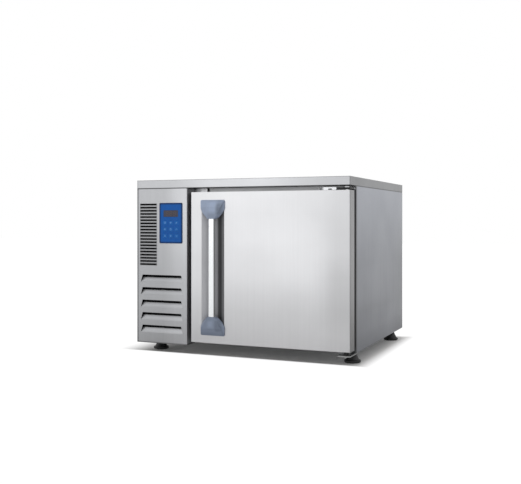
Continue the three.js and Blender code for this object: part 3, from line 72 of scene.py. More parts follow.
class Shader:
    """A node material with one Principled shader, and short calls for the nodes that feed it."""

    def __init__(self, name, color, roughness, metallic=0.0, **sockets):
        self.material = bpy.data.materials.new(name)
        self.material.use_nodes = True
        self.nodes = self.material.node_tree.nodes
        self.links = self.material.node_tree.links
        self.principled = self.nodes["Principled BSDF"]
        self.color = color
        self.roughness = roughness
        values = {"Base Color": (*color, 1), "Roughness": roughness, "Metallic": metallic, **sockets}
        for socket, value in values.items():
            self.principled.inputs[socket].default_value = value
        self.coordinates = self.nodes.new("ShaderNodeTexCoord").outputs["Object"]

    def link(self, output, node, socket):
        self.links.new(output, node.inputs[socket])

    def noise(self, scale, detail=3.0, stretch=(1, 1, 1), distortion=0.0):
        """Noise of scale features per metre; a stretch above 1 makes them shorter along an axis."""
        mapping = self.nodes.new("ShaderNodeMapping")
        mapping.inputs["Scale"].default_value = stretch
        self.link(self.coordinates, mapping, "Vector")
        noise = self.nodes.new("ShaderNodeTexNoise")
        noise.inputs["Scale"].default_value = scale
        noise.inputs["Detail"].default_value = detail
        noise.inputs["Roughness"].default_value = NOISE_ROUGHNESS
        noise.inputs["Distortion"].default_value = distortion
        self.link(mapping.outputs[0], noise, "Vector")
        return noise.outputs["Fac"]

    def ramp(self, value, low, high, start=0.0, end=1.0):
        """Maps a value between start and end to a number from low to high."""
        node = self.nodes.new("ShaderNodeMapRange")
        limits = {"From Min": start, "From Max": end, "To Min": low, "To Max": high}
        for socket, number in limits.items():
            node.inputs[socket].default_value = number
        self.link(value, node, "Value")
        return node.outputs[0]

    def math(self, operation, first, second):
        """A calculation on two values; either may be a number or a node's output."""
        node = self.nodes.new("ShaderNodeMath")
        node.operation = operation
        for i, value in enumerate((first, second)):
            if isinstance(value, (int, float)):
                node.inputs[i].default_value = value
            else:
                self.links.new(value, node.inputs[i])
        return node.outputs[0]

    def blend(self, first, second, share):
        """A share of the first value and the rest of the second."""
        return self.math("ADD", self.math("MULTIPLY", first, share),
                         self.math("MULTIPLY", second, 1 - share))

    def mix(self, factor, first, second):
        """A colour between two colours; either may be a node's output."""
        node = self.nodes.new("ShaderNodeMix")
        node.data_type = "RGBA"
        self.links.new(factor, node.inputs["Factor"])
        for name, value in (("A", first), ("B", second)):
            socket = [s for s in node.inputs if s.name == name and s.type == "RGBA"][0]
            if isinstance(value, (tuple, list)):
                socket.default_value = (*value[:3], 1)
            else:
                self.links.new(value, socket)
        return [s for s in node.outputs if s.type == "RGBA"][0]

    def tint(self, factor, amount):
        """The base colour, darker or lighter by a share that follows a factor from 0 to 1."""
        dark = tuple(c * (1 - amount) for c in self.color)
        light = tuple(min(1.0, c * (1 + amount)) for c in self.color)
        return self.mix(factor, dark, light)

    def set_color(self, output):
        self.link(output, self.principled, "Base Color")

    def set_roughness(self, factor, spread):
        """Roughness that follows a factor, up to a spread below and above the material's own."""
        low, high = max(SMOOTHEST, self.roughness - spread), min(1.0, self.roughness + spread)
        self.link(self.ramp(factor, low, high, start=0.3, end=0.7), self.principled, "Roughness")

    def bump(self, height, distance, strength):
        node = self.nodes.new("ShaderNodeBump")
        node.inputs["Distance"].default_value = distance
        node.inputs["Strength"].default_value = strength
        self.link(height, node, "Height")
        self.link(node.outputs[0], self.principled, "Normal")

    def axis(self, name):
        """One coordinate of the surface point, in metres."""
        node = self.nodes.new("ShaderNodeSeparateXYZ")
        self.link(self.coordinates, node, "Vector")
        return node.outputs[name]

    def shade_bands(self, color, bands):
        """Multiplies a colour by a share in each band: painted shade where the share is below 1, painted
        highlight where it is above.

        A band is (share, limit, ...). A limit (axis, place, half, fade) keeps it to points whose
        coordinate is within half of the place, and fades it out over the next fade metres.
        """
        for share, *limits in bands:
            factor = None
            for name, place, half, fade in limits:
                away = self.math("ABSOLUTE", self.math("SUBTRACT", self.axis(name), place), 0)
                within = self.ramp(away, 1.0, 0.0, half, half + fade)
                factor = self.math("MULTIPLY", factor, within) if factor else within
            node = self.nodes.new("ShaderNodeMix")
            node.data_type = "RGBA"
            node.blend_type = "MULTIPLY"
            sockets = [s for s in node.inputs if s.type == "RGBA"]
            self.link(factor, node, "Factor")
            self.links.new(color, sockets[0])
            sockets[1].default_value = (share, share, share, 1)
            color = [s for s in node.outputs if s.type == "RGBA"][0]
        return color


GRAIN_FINE = 1500.0  # brush lines per metre, across the grain
GRAIN_LONG = 12.0  # and along it
STREAK_FINE = 140.0  # the broader streaks, in the same way
STREAK_LONG = 1.4
STREAK_TINT = 0.035  # how far streaks darken and lighten a sheet
WIPED_SHARE = 0.93  # the brightness of the patches that a cloth has dulled
BRUSH_DEPTH = 0.04 * MM


def brushed(name, color, roughness, grain, metallic=0.85, depth=1.0, bands=()):
    """Brushed sheet metal; grain is the axis that the brush lines follow."""
    shader = Shader(name, color, roughness, metallic)
    stretch = [GRAIN_FINE] * 3
    stretch["XYZ".index(grain)] = GRAIN_LONG
    lines = shader.noise(1.0, stretch=stretch)
    broad = [STREAK_FINE] * 3
    broad["XYZ".index(grain)] = STREAK_LONG
    streaks = shader.noise(1.0, detail=2.0, stretch=broad)
    haze = shader.noise(5.0, detail=4.0)
    tone = shader.blend(lines, streaks, 0.45)
    streaked = shader.tint(shader.ramp(tone, 0.0, 1.0, start=0.35, end=0.65), STREAK_TINT * depth)
    wiped = tuple(c * WIPED_SHARE for c in color)
    sheet = shader.mix(shader.ramp(haze, 0.0, 0.5, start=0.45, end=0.75), streaked, wiped)
    shader.set_color(shader.shade_bands(sheet, bands))
    shader.set_roughness(shader.blend(tone, haze, 0.6), spread=0.07)
    shader.bump(lines, BRUSH_DEPTH * depth, strength=0.5)
    return shader.material


def moulded(name, color, roughness, texture=0.06, mottle=0.05, bands=(), **sockets):
    """Moulded plastic with slight mottling; texture is the depth of its fine grain in millimetres."""
    shader = Shader(name, color, roughness, 0.0, **sockets)
    cloud = shader.noise(22.0, detail=4.0)
    spark = shader.noise(2600.0, detail=2.0)
    plain = shader.tint(shader.ramp(cloud, 0.0, 1.0, start=0.3, end=0.7), mottle)
    shader.set_color(shader.shade_bands(plain, bands))
    shader.set_roughness(shader.blend(cloud, spark, 0.5), spread=0.08)
    shader.bump(spark, texture * MM, strength=0.6)
    return shader.material


def polished(name, color, roughness):
    """Plated or polished metal with fine wipe marks."""
    shader = Shader(name, color, roughness, metallic=1.0)
    wipe = shader.noise(60.0, detail=5.0, stretch=(1, 1, 3), distortion=0.8)
    pits = shader.noise(900.0, detail=2.0)
    shader.set_color(shader.tint(shader.ramp(wipe, 0.0, 1.0, start=0.3, end=0.7), amount=0.05))
    shader.set_roughness(wipe, spread=0.06)
    shader.bump(pits, 0.02 * MM, strength=0.4)
    return shader.material


def foam_material():
    """Foam with fine cells, browner in some places."""
    shader = Shader("foam", FOAM_YELLOW, roughness=0.95)
    cells = shader.noise(700.0)
    cloud = shader.noise(9.0)
    shader.set_color(shader.tint(shader.ramp(cloud, 0.0, 1.0, start=0.3, end=0.7), amount=0.12))
    shader.set_roughness(cells, spread=0.04)
    shader.bump(cells, 0.4 * MM, strength=0.8)
    return shader.material


def fin_material(name, color, dusty):
    """Stacked fins with some dust between them."""
    shader = Shader(name, color, roughness=0.42, metallic=0.9)
    dust = shader.noise(30.0, detail=5.0)
    dents = shader.noise(160.0, detail=2.0, stretch=(1, 1, 0.2))
    shader.set_color(shader.mix(shader.ramp(dust, 0.0, 0.6, start=0.45, end=0.75), color, dusty))
    shader.set_roughness(dust, spread=0.15)
    shader.bump(dents, 0.3 * MM, strength=0.5)
    return shader.material


def copper_material():
    """Copper pipe, tarnished in patches."""
    shader = Shader("copper", COPPER, roughness=0.32, metallic=1.0)
    tarnish = shader.noise(35.0, detail=5.0)
    shader.set_color(shader.mix(shader.ramp(tarnish, 0.0, 0.8, start=0.42, end=0.7), COPPER, TARNISH))
    shader.set_roughness(tarnish, spread=0.14)
    shader.bump(tarnish, 0.1 * MM, strength=0.3)
    return shader.material


# ------------------------------------------------------------------ colours and shaded bands
# One stainless steel in lighter and darker copies, partly for a different finish and partly painted light:
# the worktop's and door's lighter copies are painted highlight, and the frame's and the sides' darker
# copies are painted shade.
BODY_STEEL = (0.463, 0.470, 0.486)
WORKTOP_STEEL_LIT_COPY = (0.512, 0.520, 0.536)
FRAME_STEEL_SHADED_COPY = (0.40, 0.405, 0.415)
SIDE_STEEL_SHADED_COPY = (0.346, 0.362, 0.404)
DOOR_STEEL_LIT_COPY = (0.677, 0.681, 0.696)
FOAM_YELLOW = (0.78, 0.70, 0.46)
COPPER = (0.72, 0.36, 0.20)
TARNISH = (0.30, 0.16, 0.10)
SEAM_SHADE_SHARE = 0.24  # how much of its brightness a sheet keeps in the painted shade along a seam
FOLD_SHADE_SHARE = 0.45  # and in the painted shade along a folded edge


def middle(node, axis):
    """The middle of a node's box along an axis."""
    low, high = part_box(node)
    return (low["XYZ".index(axis)] + high["XYZ".index(axis)]) / 2


def edge_shade_and_highlight(node, *edges):
    """Bands of painted shade or highlight along edges of a node's box, each (axis, "low" or "high", reach
    in millimetres, share).
    """
    low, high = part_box(node)
    bands = []
    for axis, end, reach, share in edges:
        place = (low if end == "low" else high)["XYZ".index(axis)]
        bands.append((share, (axis, place, reach * MM / 2, reach * MM / 2)))
    return bands


def patch(share, x, half_x, z, half_z, fade):
    """A patch of painted shade or painted highlight on a front, its place in metres and its sizes in
    millimetres.
    """
    return share, ("X", x, half_x * MM, fade * MM), ("Z", z, half_z * MM, fade * MM)


# The bands are painted light: lines of painted shade along seams and folds, and painted shade and
# highlights where light falls less or more on each sheet.
column_low, column_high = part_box("service_front_panel")
side_low, side_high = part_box("right_side_panel")
front_face = ("Y", DOOR_FRONT, 1 * MM, 1 * MM)  # keeps a band off the faces behind the front
# Painted shade in the seam under the worktop, on its top fold, its left front edge and its right side face,
# and a painted highlight across its front.
worktop_painted_light = edge_shade_and_highlight("worktop", ("Z", "low", 1.8, SEAM_SHADE_SHARE), ("X", "high", 2.0, 0.46))
worktop_painted_light += [(FOLD_SHADE_SHARE, ("Z", worktop_high.z, 0.9 * MM, 0.9 * MM), front_face),
                  (0.7, ("X", LEFT_SIDE, 2.5 * MM, 2.5 * MM), front_face),
                  (1.12, ("X", 0.03, 0.12, 0.14))]
# Painted shade on the column's bottom fold, top seam, left edge and lower half, on the sheet round its vent
# slots and in a small patch at its top right; painted highlight towards its right, at its top right and in
# a band just behind its front.
column_painted_light = edge_shade_and_highlight("service_front_panel", ("Z", "low", 4.4, FOLD_SHADE_SHARE),
                     ("Z", "high", 2.6, SEAM_SHADE_SHARE), ("Z", "low", 420, 0.88), ("X", "high", 90, 1.1))
column_painted_light += [(0.38, ("X", column_low.x, 4 * MM, 4 * MM), front_face),
                 (1.18, ("Y", DOOR_FRONT + 8 * MM, 3.7 * MM, 3.7 * MM)),
                 (1.13, ("X", column_high.x, 0.015, 0.06), ("Z", column_high.z, 0.22, 0.20)),
                 (0.38, ("X", column_high.x, 0.2 * MM, 0.4 * MM), ("Z", column_high.z, 12 * MM, 3 * MM),
                  ("Y", DOOR_FRONT + 40 * MM, 34 * MM, 4 * MM)),
                 patch(0.69, column_low.x + 45 * MM, 33, column_high.z - 155 * MM, 104, 1.5)]
# Painted shade on the door's side edges, towards its right and bottom and at its lower right, and a painted
# highlight across its middle.
door_painted_light = edge_shade_and_highlight("door_outer_skin", ("X", "high", 2.0, 0.42), ("X", "low", 2.0, 0.8),
                   ("X", "high", 90, 0.94), ("Z", "low", 210, 0.9))
door_painted_light += [patch(0.88, door_high.x, 50, door_low.z + 175 * MM, 50, 80),
               patch(1.07, middle("door_outer_skin", "X") + 20 * MM, 130, door_low.z + 290 * MM, 50, 80)]
# Painted shade on the side's top fold, its back and front edges, lower down and at its lower back, and a
# painted highlight along its very bottom.
side_painted_light = edge_shade_and_highlight("right_side_panel", ("Z", "high", 2.4, FOLD_SHADE_SHARE), ("Y", "high", 6.0, 0.8),
                   ("Y", "low", 12, 0.25), ("Z", "low", 540, 0.57), ("Z", "low", 260, 0.84),
                   ("Z", "low", 120, 1.3))
side_painted_light += [(0.82, ("Y", side_high.y, 0.06, 0.16), ("Z", side_low.z, 0.28, 0.15))]
# Painted shade at both ends of the frame strip above the door, and a painted highlight on the frame plate's
# left part, less at its very end.
frame_painted_shade = edge_shade_and_highlight("front_frame", ("X", "low", 34, 0.12), ("X", "high", 24, 0.4))
plate_painted_light = edge_shade_and_highlight("front_frame", ("X", "low", 11, 0.7), ("X", "low", 36, 1.5))
# Painted shade round the control panel's edges.
panel_edge_shade = edge_shade_and_highlight("control_panel", *[(axis, end, 7, 0.35) for axis in "XZ" for end in ("low", "high")])
# Painted shade on the handle bar's right edge and on the upper hinge bracket's left end.
bar_edge_shade = edge_shade_and_highlight("handle_bar", ("X", "high", 4, 0.45))
hinge_painted_shade = edge_shade_and_highlight("hinge_bracket_upper", ("X", "low", 16, 0.2))
handle_x = middle("handle_pan", "X")
# Painted shade in the handle's pan, beside the bar and on its right wall.
pan_painted_shade = [(0.7, ("X", handle_x - 1 * MM, 4 * MM, 3 * MM)),
             (0.22, ("X", handle_x + 16 * MM, 7 * MM, 7 * MM)),
             (0.38, ("X", handle_x + 40 * MM, 17 * MM, 17 * MM))]
upper_cap_z, lower_cap_z = middle("handle_cap_upper", "Z"), middle("handle_cap_lower", "Z")
# Painted highlights and painted shade on the faces of the two handle caps.
cap_painted_light = [patch(1.2, handle_x, 60, upper_cap_z, 40, 10),
             patch(1.45, handle_x + 3 * MM, 8, upper_cap_z + 8 * MM, 12, 14),
             patch(0.72, handle_x + 28 * MM, 5, upper_cap_z, 14, 8),
             patch(1.25, handle_x - 30 * MM, 12, upper_cap_z, 30, 10),
             patch(1.28, handle_x - 2 * MM, 4, lower_cap_z + 8 * MM, 5, 10),
             patch(0.74, handle_x + 24 * MM, 6, lower_cap_z + 2 * MM, 14, 8),
             patch(0.84, handle_x, 60, lower_cap_z - 30 * MM, 6, 8)]

# ------------------------------------------------------------------ materials, and the nodes that take them
QUIET = {"Specular IOR Level": 0.2}  # for a plastic face that hardly shines
MATERIALS = {
    "worktop": brushed("worktop_steel_lit_copy", WORKTOP_STEEL_LIT_COPY, 0.36, "X", bands=worktop_painted_light),
    "column": brushed("column_steel", BODY_STEEL, 0.36, "Z", bands=column_painted_light),
    "door": brushed("door_steel_lit_copy", DOOR_STEEL_LIT_COPY, 0.36, "Z", depth=0.65, bands=door_painted_light),
    "side": brushed("side_steel_shaded_copy", SIDE_STEEL_SHADED_COPY, 0.36, "Z", bands=side_painted_light),
    "sheet_x": brushed("sheet_grain_along_x", BODY_STEEL, 0.36, "X"),
    "frame": brushed("frame_steel_shaded_copy", FRAME_STEEL_SHADED_COPY, 0.36, "X", bands=frame_painted_shade),
    "plate": brushed("plate_steel", (0.54, 0.545, 0.56), 0.34, "X", 1.0, bands=plate_painted_light),
    "sheet_y": brushed("sheet_grain_along_y", BODY_STEEL, 0.38, "Y"),
    "sheet_z": brushed("sheet_grain_along_z", BODY_STEEL, 0.36, "Z"),
    "pan": brushed("pan_steel", (0.56, 0.565, 0.59), 0.5, "Z", 0.45, bands=pan_painted_shade),
    "galvanised": brushed("galvanised_sheet", (0.42, 0.44, 0.46), 0.5, "X", 0.8, 1.6),
    "bar": brushed("anodised_bar", (0.84, 0.86, 0.87), 0.26, "Z", 0.9, 0.5, bar_edge_shade),
    "chrome": polished("chrome", (0.80, 0.81, 0.83), 0.14),
    "bracket": brushed("bracket_steel", (0.36, 0.37, 0.37), 0.3, "X"),
    "hinge": brushed("hinge_steel", (0.66, 0.67, 0.69), 0.24, "X", 1.0, bands=hinge_painted_shade),
    "cap": moulded("cap_blue_grey", (0.23, 0.277, 0.37), 0.42, bands=cap_painted_light),
    "black": moulded("black_plastic", (0.012, 0.012, 0.013), 0.55),
    "graphite": moulded("graphite_plastic", (0.030, 0.031, 0.034), 0.5),
    # Near-black and dull: partly the box's own black plastic, partly painted shade for the dark seen
    # through the vent slots.
    "box": moulded("control_box_black", (0.006, 0.006, 0.006), 0.8, **QUIET),
    "enamel": moulded("black_enamel", (0.010, 0.010, 0.011), 0.28, 0.12),
    "blue": moulded("panel_blue", (0.006, 0.115, 0.46), 0.30, 0.02, 0.06, panel_edge_shade, **QUIET),
    "key": moulded("key_blue", (0.010, 0.140, 0.50), 0.34, 0.02, 0.05, **QUIET),
    "print": moulded("printed_light_blue", (0.15, 0.36, 0.76), 0.4, 0.01, 0.04, **QUIET),
    "smoke": moulded("display_smoke", (0.075, 0.075, 0.105), 0.16, 0.01, 0.08, **QUIET),
    "segment": moulded("unlit_segments", (0.125, 0.095, 0.10), 0.3, 0.01, 0.04, **QUIET),
    "nylon": moulded("nylon", (0.78, 0.78, 0.74), 0.5),
    "rubber": moulded("gasket_rubber", (0.045, 0.047, 0.052), 0.75, 0.1),
    "foam": foam_material(),
    "fins": fin_material("fins", (0.66, 0.67, 0.69), (0.35, 0.33, 0.30)),
    # Partly a black coat on the condenser fins, partly painted shade for the dark seen through the louvers.
    "coated_fins": fin_material("coated_fins", (0.010, 0.010, 0.011), (0.022, 0.020, 0.018)),
    "copper": copper_material(),
}

NODE_FINISH = {
    "worktop": ["worktop"],
    "column": ["service_front_panel"],
    "door": ["door_outer_skin", "door_inner_liner"],
    "side": ["right_side_panel", "left_side_panel"],
    "frame": ["front_frame"],
    "sheet_x": ["evaporator_baffle", "chamber_back", "tray_rack_left", "tray_rack_right"],
    "sheet_y": ["chamber_liner"],
    "sheet_z": ["back_panel"],
    "galvanised": ["base_panel", "partition_panel", "condenser_shroud", "compressor_plate", "fan_bracket"],
    "foam": ["foam_insulation", "door_foam", "worktop_core"],
    "box": ["control_box"],
    "black": ["cable_gland", "foot_front_left", "foot_front_right", "foot_back_left", "foot_back_right"],
    "graphite": ["condenser_fan", "evaporator_fan"],
    "enamel": ["condenser_fan_motor", "evaporator_fan_motor", "compressor"],
    "blue": ["control_panel"],
    "key": [f"key_{i}" for i in range(1, 10)],
    "smoke": ["display_window"],
    "cap": ["handle_cap_upper", "handle_cap_lower"],
    "pan": ["handle_pan"],
    "bar": ["handle_bar"],
    "fins": ["evaporator_coil"],
    "coated_fins": ["condenser_coil"],
    "hinge": ["hinge_bracket_upper"],
    "chrome": ["hinge_pin_upper", "hinge_pin_lower"],
    "bracket": ["hinge_bracket_lower"],
    "nylon": ["hinge_bush_upper", "hinge_bush_lower"],
    "rubber": ["door_gasket"],
    "copper": ["discharge_line", "liquid_line", "capillary_line", "suction_line"],
}
for finish, names in NODE_FINISH.items():
    for name in names:
        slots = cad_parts[name].data.materials
        slots.clear()
        slots.append(MATERIALS[finish])


# ------------------------------------------------------------------ small pieces
BEVEL_STEPS = 3
ROUND_STEPS = 4  # the straight steps of a rounded corner
SAME_POINT = 0.01 * MM  # points nearer than this count as one


def make_piece(name, finish, body, draw, bevel=0.0):
    """A piece whose mesh a function draws with a mesh builder; it rides on a body of the frame."""
    builder = bmesh.new()
    draw(builder)
    bmesh.ops.recalc_face_normals(builder, faces=builder.faces)
    mesh = bpy.data.meshes.new(name)
    builder.to_mesh(mesh)
    builder.free()
    mesh.materials.append(MATERIALS[finish])
    piece = bpy.data.objects.new(name, mesh)
    bpy.context.scene.collection.objects.link(piece)
    if bevel:
        modifier = piece.modifiers.new("rounded_edges", "BEVEL")
        modifier.width = bevel
        modifier.segments = BEVEL_STEPS
        modifier.limit_method = "ANGLE"
    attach(piece, body)


def draw_prism(builder, outline, near, far, place):
    """A closed prism over a plane outline; place turns (u, v, depth) into a point."""
    rings = [[builder.verts.new(place(u, v, depth)) for u, v in outline] for depth in (near, far)]
    for ring in rings:
        builder.faces.new(ring)
    for i, vertex in enumerate(rings[0]):
        following = (i + 1) % len(outline)
        builder.faces.new((vertex, rings[0][following], rings[1][following], rings[1][i]))


def draw_lathe(builder, profile, place, sides=24):
    """A closed body turned from (radius, height) pairs; place turns (u, v, height) into a point."""
    rings = []
    for radius, height in profile:
        turns = [2 * math.pi * i / sides for i in range(sides)] if radius else [0]
        rings.append([builder.verts.new(place(radius * math.cos(turn), radius * math.sin(turn), height))
                      for turn in turns])
    for lower, upper in zip(rings, rings[1:]):
        for i in range(sides):
            corners = [lower[i % len(lower)], lower[(i + 1) % len(lower)], upper[(i + 1) % len(upper)],
                       upper[i % len(upper)]]
            builder.faces.new(list(dict.fromkeys(corners)))


def rounded_outline(u0, u1, v0, v1, radius):
    """The outline of a rectangle with rounded corners."""
    corners = [(u1 - radius, v0 + radius, -90), (u1 - radius, v1 - radius, 0),
               (u0 + radius, v1 - radius, 90), (u0 + radius, v0 + radius, 180)]
    return [(u + radius * math.cos(math.radians(start + 90 * i / ROUND_STEPS)),
             v + radius * math.sin(math.radians(start + 90 * i / ROUND_STEPS)))
            for u, v, start in corners for i in range(ROUND_STEPS + 1)]


def on_front(x, y, z):
    """Places u along X, v along Z and depth along Y, from a point."""
    return lambda u, v, depth: Vector((x + u, y + depth, z + v))


def on_back(x, y, z):
    """Places a piece that stands out towards the back."""
    return lambda u, v, depth: Vector((x - u, y + depth, z + v))


def on_underside(x, y, z):
    """Places a piece that hangs down."""
    return lambda u, v, depth: Vector((x + u, y + v, z - depth))


def upright(x, y, z):
    """Places a piece that stands up."""
    return lambda u, v, depth: Vector((x + u, y + v, z + depth))


# ------------------------------------------------------------------ fasteners
SCREW_RADIUS = 3.6 * MM
SCREW_HEIGHT = 1.3 * MM
SCREW_PROFILE = [(0, 0), (1, 0), (1, 0.35), (0.8, 0.85), (0.5, 1), (0.38, 1), (0.34, 0.35), (0, 0.3)]
BACK_SCREW_INSET = 9 * MM
BACK_SCREWS_IN_ROW = 5
NUT_SIDES = 6
NUT_RADIUS = 15.5 * MM
NUT_CHAMFER = 2 * MM  # across, and half of it along the stem
NUT_HEIGHT = 7 * MM
NUT_GAP = 0.6 * MM  # between the nut and the base panel


def make_screw(name, body, place, finish="chrome"):
    """A low button head with a socket; its profile is in shares of its radius and height."""
    profile = [(SCREW_RADIUS * across, SCREW_HEIGHT * along) for across, along in SCREW_PROFILE]
    make_piece(name, finish, body, lambda builder: draw_lathe(builder, profile, place))


def back_panel_fittings():
    """Screws round the back panel's edges."""
    low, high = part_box("back_panel")
    left, right = low.x + BACK_SCREW_INSET, high.x - BACK_SCREW_INSET
    places = []
    for z in (low.z + BACK_SCREW_INSET, high.z - BACK_SCREW_INSET):
        places += [(left + (right - left) * i / (BACK_SCREWS_IN_ROW - 1), z)
                   for i in range(BACK_SCREWS_IN_ROW)]
    places += [(x, middle("back_panel", "Z")) for x in (left, right)]
    for i, (x, z) in enumerate(places):
        make_screw(f"back_screw_{i + 1}", "cabinet", on_back(x, high.y, z))


def foot_nuts():
    """A lock nut under the base panel on each foot's stem."""
    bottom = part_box("base_panel")[0].z - NUT_GAP - NUT_HEIGHT
    face, edge = NUT_RADIUS - NUT_CHAMFER, NUT_CHAMFER / 2
    profile = [(0, 0), (face, 0), (NUT_RADIUS, edge), (NUT_RADIUS, NUT_HEIGHT - edge),
               (face, NUT_HEIGHT), (0, NUT_HEIGHT)]
    for corner in ("front_left", "front_right", "back_left", "back_right"):
        low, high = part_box(f"foot_{corner}")
        place = upright((low.x + high.x) / 2, (low.y + high.y) / 2, bottom)
        make_piece(f"foot_nut_{corner}", "black", "cabinet",
                   lambda builder, place=place: draw_lathe(builder, profile, place, NUT_SIDES))


# ------------------------------------------------------------------ door surround
SHEET = 1.2 * MM
PLATE_LEFT = 1 * MM  # this and the next two are from the frame's left edge
PLATE_RIGHT = 47 * MM
STOP_RIGHT = 49 * MM
PLATE_ABOVE_DOOR = 2 * MM
PLATE_BELOW_TOP = 0.6 * MM  # from the frame's top edge
PLATE_PROUD = 7 * MM  # how far the plate stands in front of the frame
PLATE_CORNER = 1 * MM
PLATE_BEVEL = 0.2 * MM
LEG_CORNER = 0.2 * MM  # of the plate's folded leg
STOP_GAP = 0.2 * MM
STOP_PROUD = 1 * MM  # in front of the plate
STOP_DEPTH = 4 * MM
STOP_CORNER = 0.6 * MM
STOP_BEVEL = 0.3 * MM


def frame_trim():
    """The folded plate and the rubber stop on the door frame above the door's opening side."""
    frame_low, frame_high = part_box("front_frame")
    bottom, top = door_high.z + PLATE_ABOVE_DOOR, frame_high.z - PLATE_BELOW_TOP
    left, right, stop = (frame_low.x + reach for reach in (PLATE_LEFT, PLATE_RIGHT, STOP_RIGHT))
    place = on_front(0, frame_low.y, 0)

    def plate(builder):
        sheet = rounded_outline(left, right, bottom, top, PLATE_CORNER)
        leg = rounded_outline(left, left + SHEET, bottom, top, LEG_CORNER)
        draw_prism(builder, sheet, -PLATE_PROUD, -PLATE_PROUD + SHEET, place)
        draw_prism(builder, leg, -PLATE_PROUD + SHEET / 2, 0, place)

    def pad(builder):
        outline = rounded_outline(right + STOP_GAP, stop, bottom, top, STOP_CORNER)
        front = -PLATE_PROUD - STOP_PROUD
        draw_prism(builder, outline, front, front + STOP_DEPTH, place)

    make_piece("frame_plate", "plate", "cabinet", plate, PLATE_BEVEL)
    make_piece("frame_stop", "rubber", "cabinet", pad, STOP_BEVEL)


COVER_GAP = 0.1 * MM
COVER_WALL = 0.8 * MM
COVER_WIDTH = 43 * MM  # from the bracket's right end
COVER_PAST_PIVOT = 26 * MM  # towards the back
COVER_CORNER = 4 * MM  # of the cover's floor
WALL_CORNER = 0.3 * MM
BRACKET_PLATE = 5 * MM  # thickness of the upper bracket's plate
LOWER_PLATE = 3.5 * MM  # and of the lower one's
FACE_INSET = 1 * MM  # from the bracket's left end
FACE_BELOW = 2.6 * MM  # below the bracket's plate
FACE_ABOVE = 0.6 * MM  # above the bracket
FACE_CORNER = 2.5 * MM
FACE_DEPTHS = (-0.7 * MM, -0.05 * MM)  # its front and back, from the bracket's front
SLOT_WIDTH = 12 * MM
SLOT_HEIGHT = 3.8 * MM
SLOT_CORNER = 1.6 * MM
SLOT_PLACE = 35 * MM  # its middle, from the bracket's left end
SLOT_DROP = 0.3 * MM  # its middle, below the bottom of the bracket's plate
SLOT_DEPTHS = (-0.95 * MM, -0.75 * MM)  # the same for the slot, in front of the face plate
COLLAR_BORE = 7.6 * MM  # this and the next two are radii
COLLAR_FLANGE = 10.5 * MM
COLLAR_NECK = 9.0 * MM
COLLAR_FLANGE_TOP = 2 * MM  # this and the next are heights above the collar's foot
COLLAR_NECK_START = 4 * MM
COLLAR_TOP_GAP = 0.4 * MM  # below the top of the bracket
COLLAR_SIDES = 32
HINGE_SCREW_PLACES = (24 * MM, 44 * MM)  # from the bracket's left end
HINGE_SCREW_INSET = 9 * MM  # from its front


def hinge_covers():
    """The upper bracket's cover, face plate, the painted shade of its slot and screws, and the lower
    bracket's collar.
    """
    low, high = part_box("hinge_bracket_upper")
    pin_low, pin_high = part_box("hinge_pin_upper")
    pivot_x, pivot_y = (pin_low.x + pin_high.x) / 2, (pin_low.y + pin_high.y) / 2
    plate_bottom = high.z - BRACKET_PLATE
    bottom, top = plate_bottom - COVER_GAP - COVER_WALL, high.z + COVER_GAP
    left, right = high.x - COVER_WIDTH, high.x + COVER_GAP + COVER_WALL
    front, back = low.y - COVER_GAP - COVER_WALL, pivot_y + COVER_PAST_PIVOT

    def cover(builder):
        walls = ((left, right, front, back, plate_bottom - COVER_GAP, COVER_CORNER),
                 (left, right, front, low.y - COVER_GAP, top, WALL_CORNER),
                 (high.x + COVER_GAP, right, front, back, top, WALL_CORNER))
        for x0, x1, y0, y1, wall_top, corner in walls:
            outline = rounded_outline(x0, x1, y0, y1, corner)
            draw_prism(builder, outline, bottom, wall_top, upright(0, 0, 0))

    def face(builder):
        outline = rounded_outline(low.x + FACE_INSET, left - COVER_GAP, plate_bottom - FACE_BELOW,
                                  high.z + FACE_ABOVE, FACE_CORNER)
        draw_prism(builder, outline, *FACE_DEPTHS, on_front(0, low.y, 0))

    # A thin black plate on the face plate: painted shade for the dark inside the adjusting slot.
    def slot(builder):
        outline = rounded_outline(-SLOT_WIDTH / 2, SLOT_WIDTH / 2, -SLOT_HEIGHT / 2, SLOT_HEIGHT / 2,
                                  SLOT_CORNER)
        draw_prism(builder, outline, *SLOT_DEPTHS,
                   on_front(low.x + SLOT_PLACE, low.y, plate_bottom - SLOT_DROP))

    def collar(builder):
        bracket_low, bracket_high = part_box("hinge_bracket_lower")
        base = bracket_low.z + LOWER_PLATE + COVER_GAP
        height = bracket_high.z - base - COLLAR_TOP_GAP
        profile = [(COLLAR_BORE, 0), (COLLAR_FLANGE, 0), (COLLAR_FLANGE, COLLAR_FLANGE_TOP),
                   (COLLAR_NECK, COLLAR_NECK_START), (COLLAR_NECK, height), (COLLAR_BORE, height),
                   (COLLAR_BORE, 0)]
        draw_lathe(builder, profile, upright(pivot_x, pivot_y, base), COLLAR_SIDES)
        bmesh.ops.remove_doubles(builder, verts=builder.verts, dist=SAME_POINT)

    make_piece("upper_hinge_cover", "black", "cabinet", cover)
    make_piece("upper_hinge_face", "hinge", "cabinet", face)
    make_piece("upper_hinge_slot_shade", "black", "cabinet", slot)
    make_piece("lower_hinge_collar", "black", "cabinet", collar)
    for i, reach in enumerate(HINGE_SCREW_PLACES):
        make_screw(f"upper_hinge_screw_{i + 1}", "cabinet",
                   on_underside(low.x + reach, low.y + HINGE_SCREW_INSET, plate_bottom), "graphite")


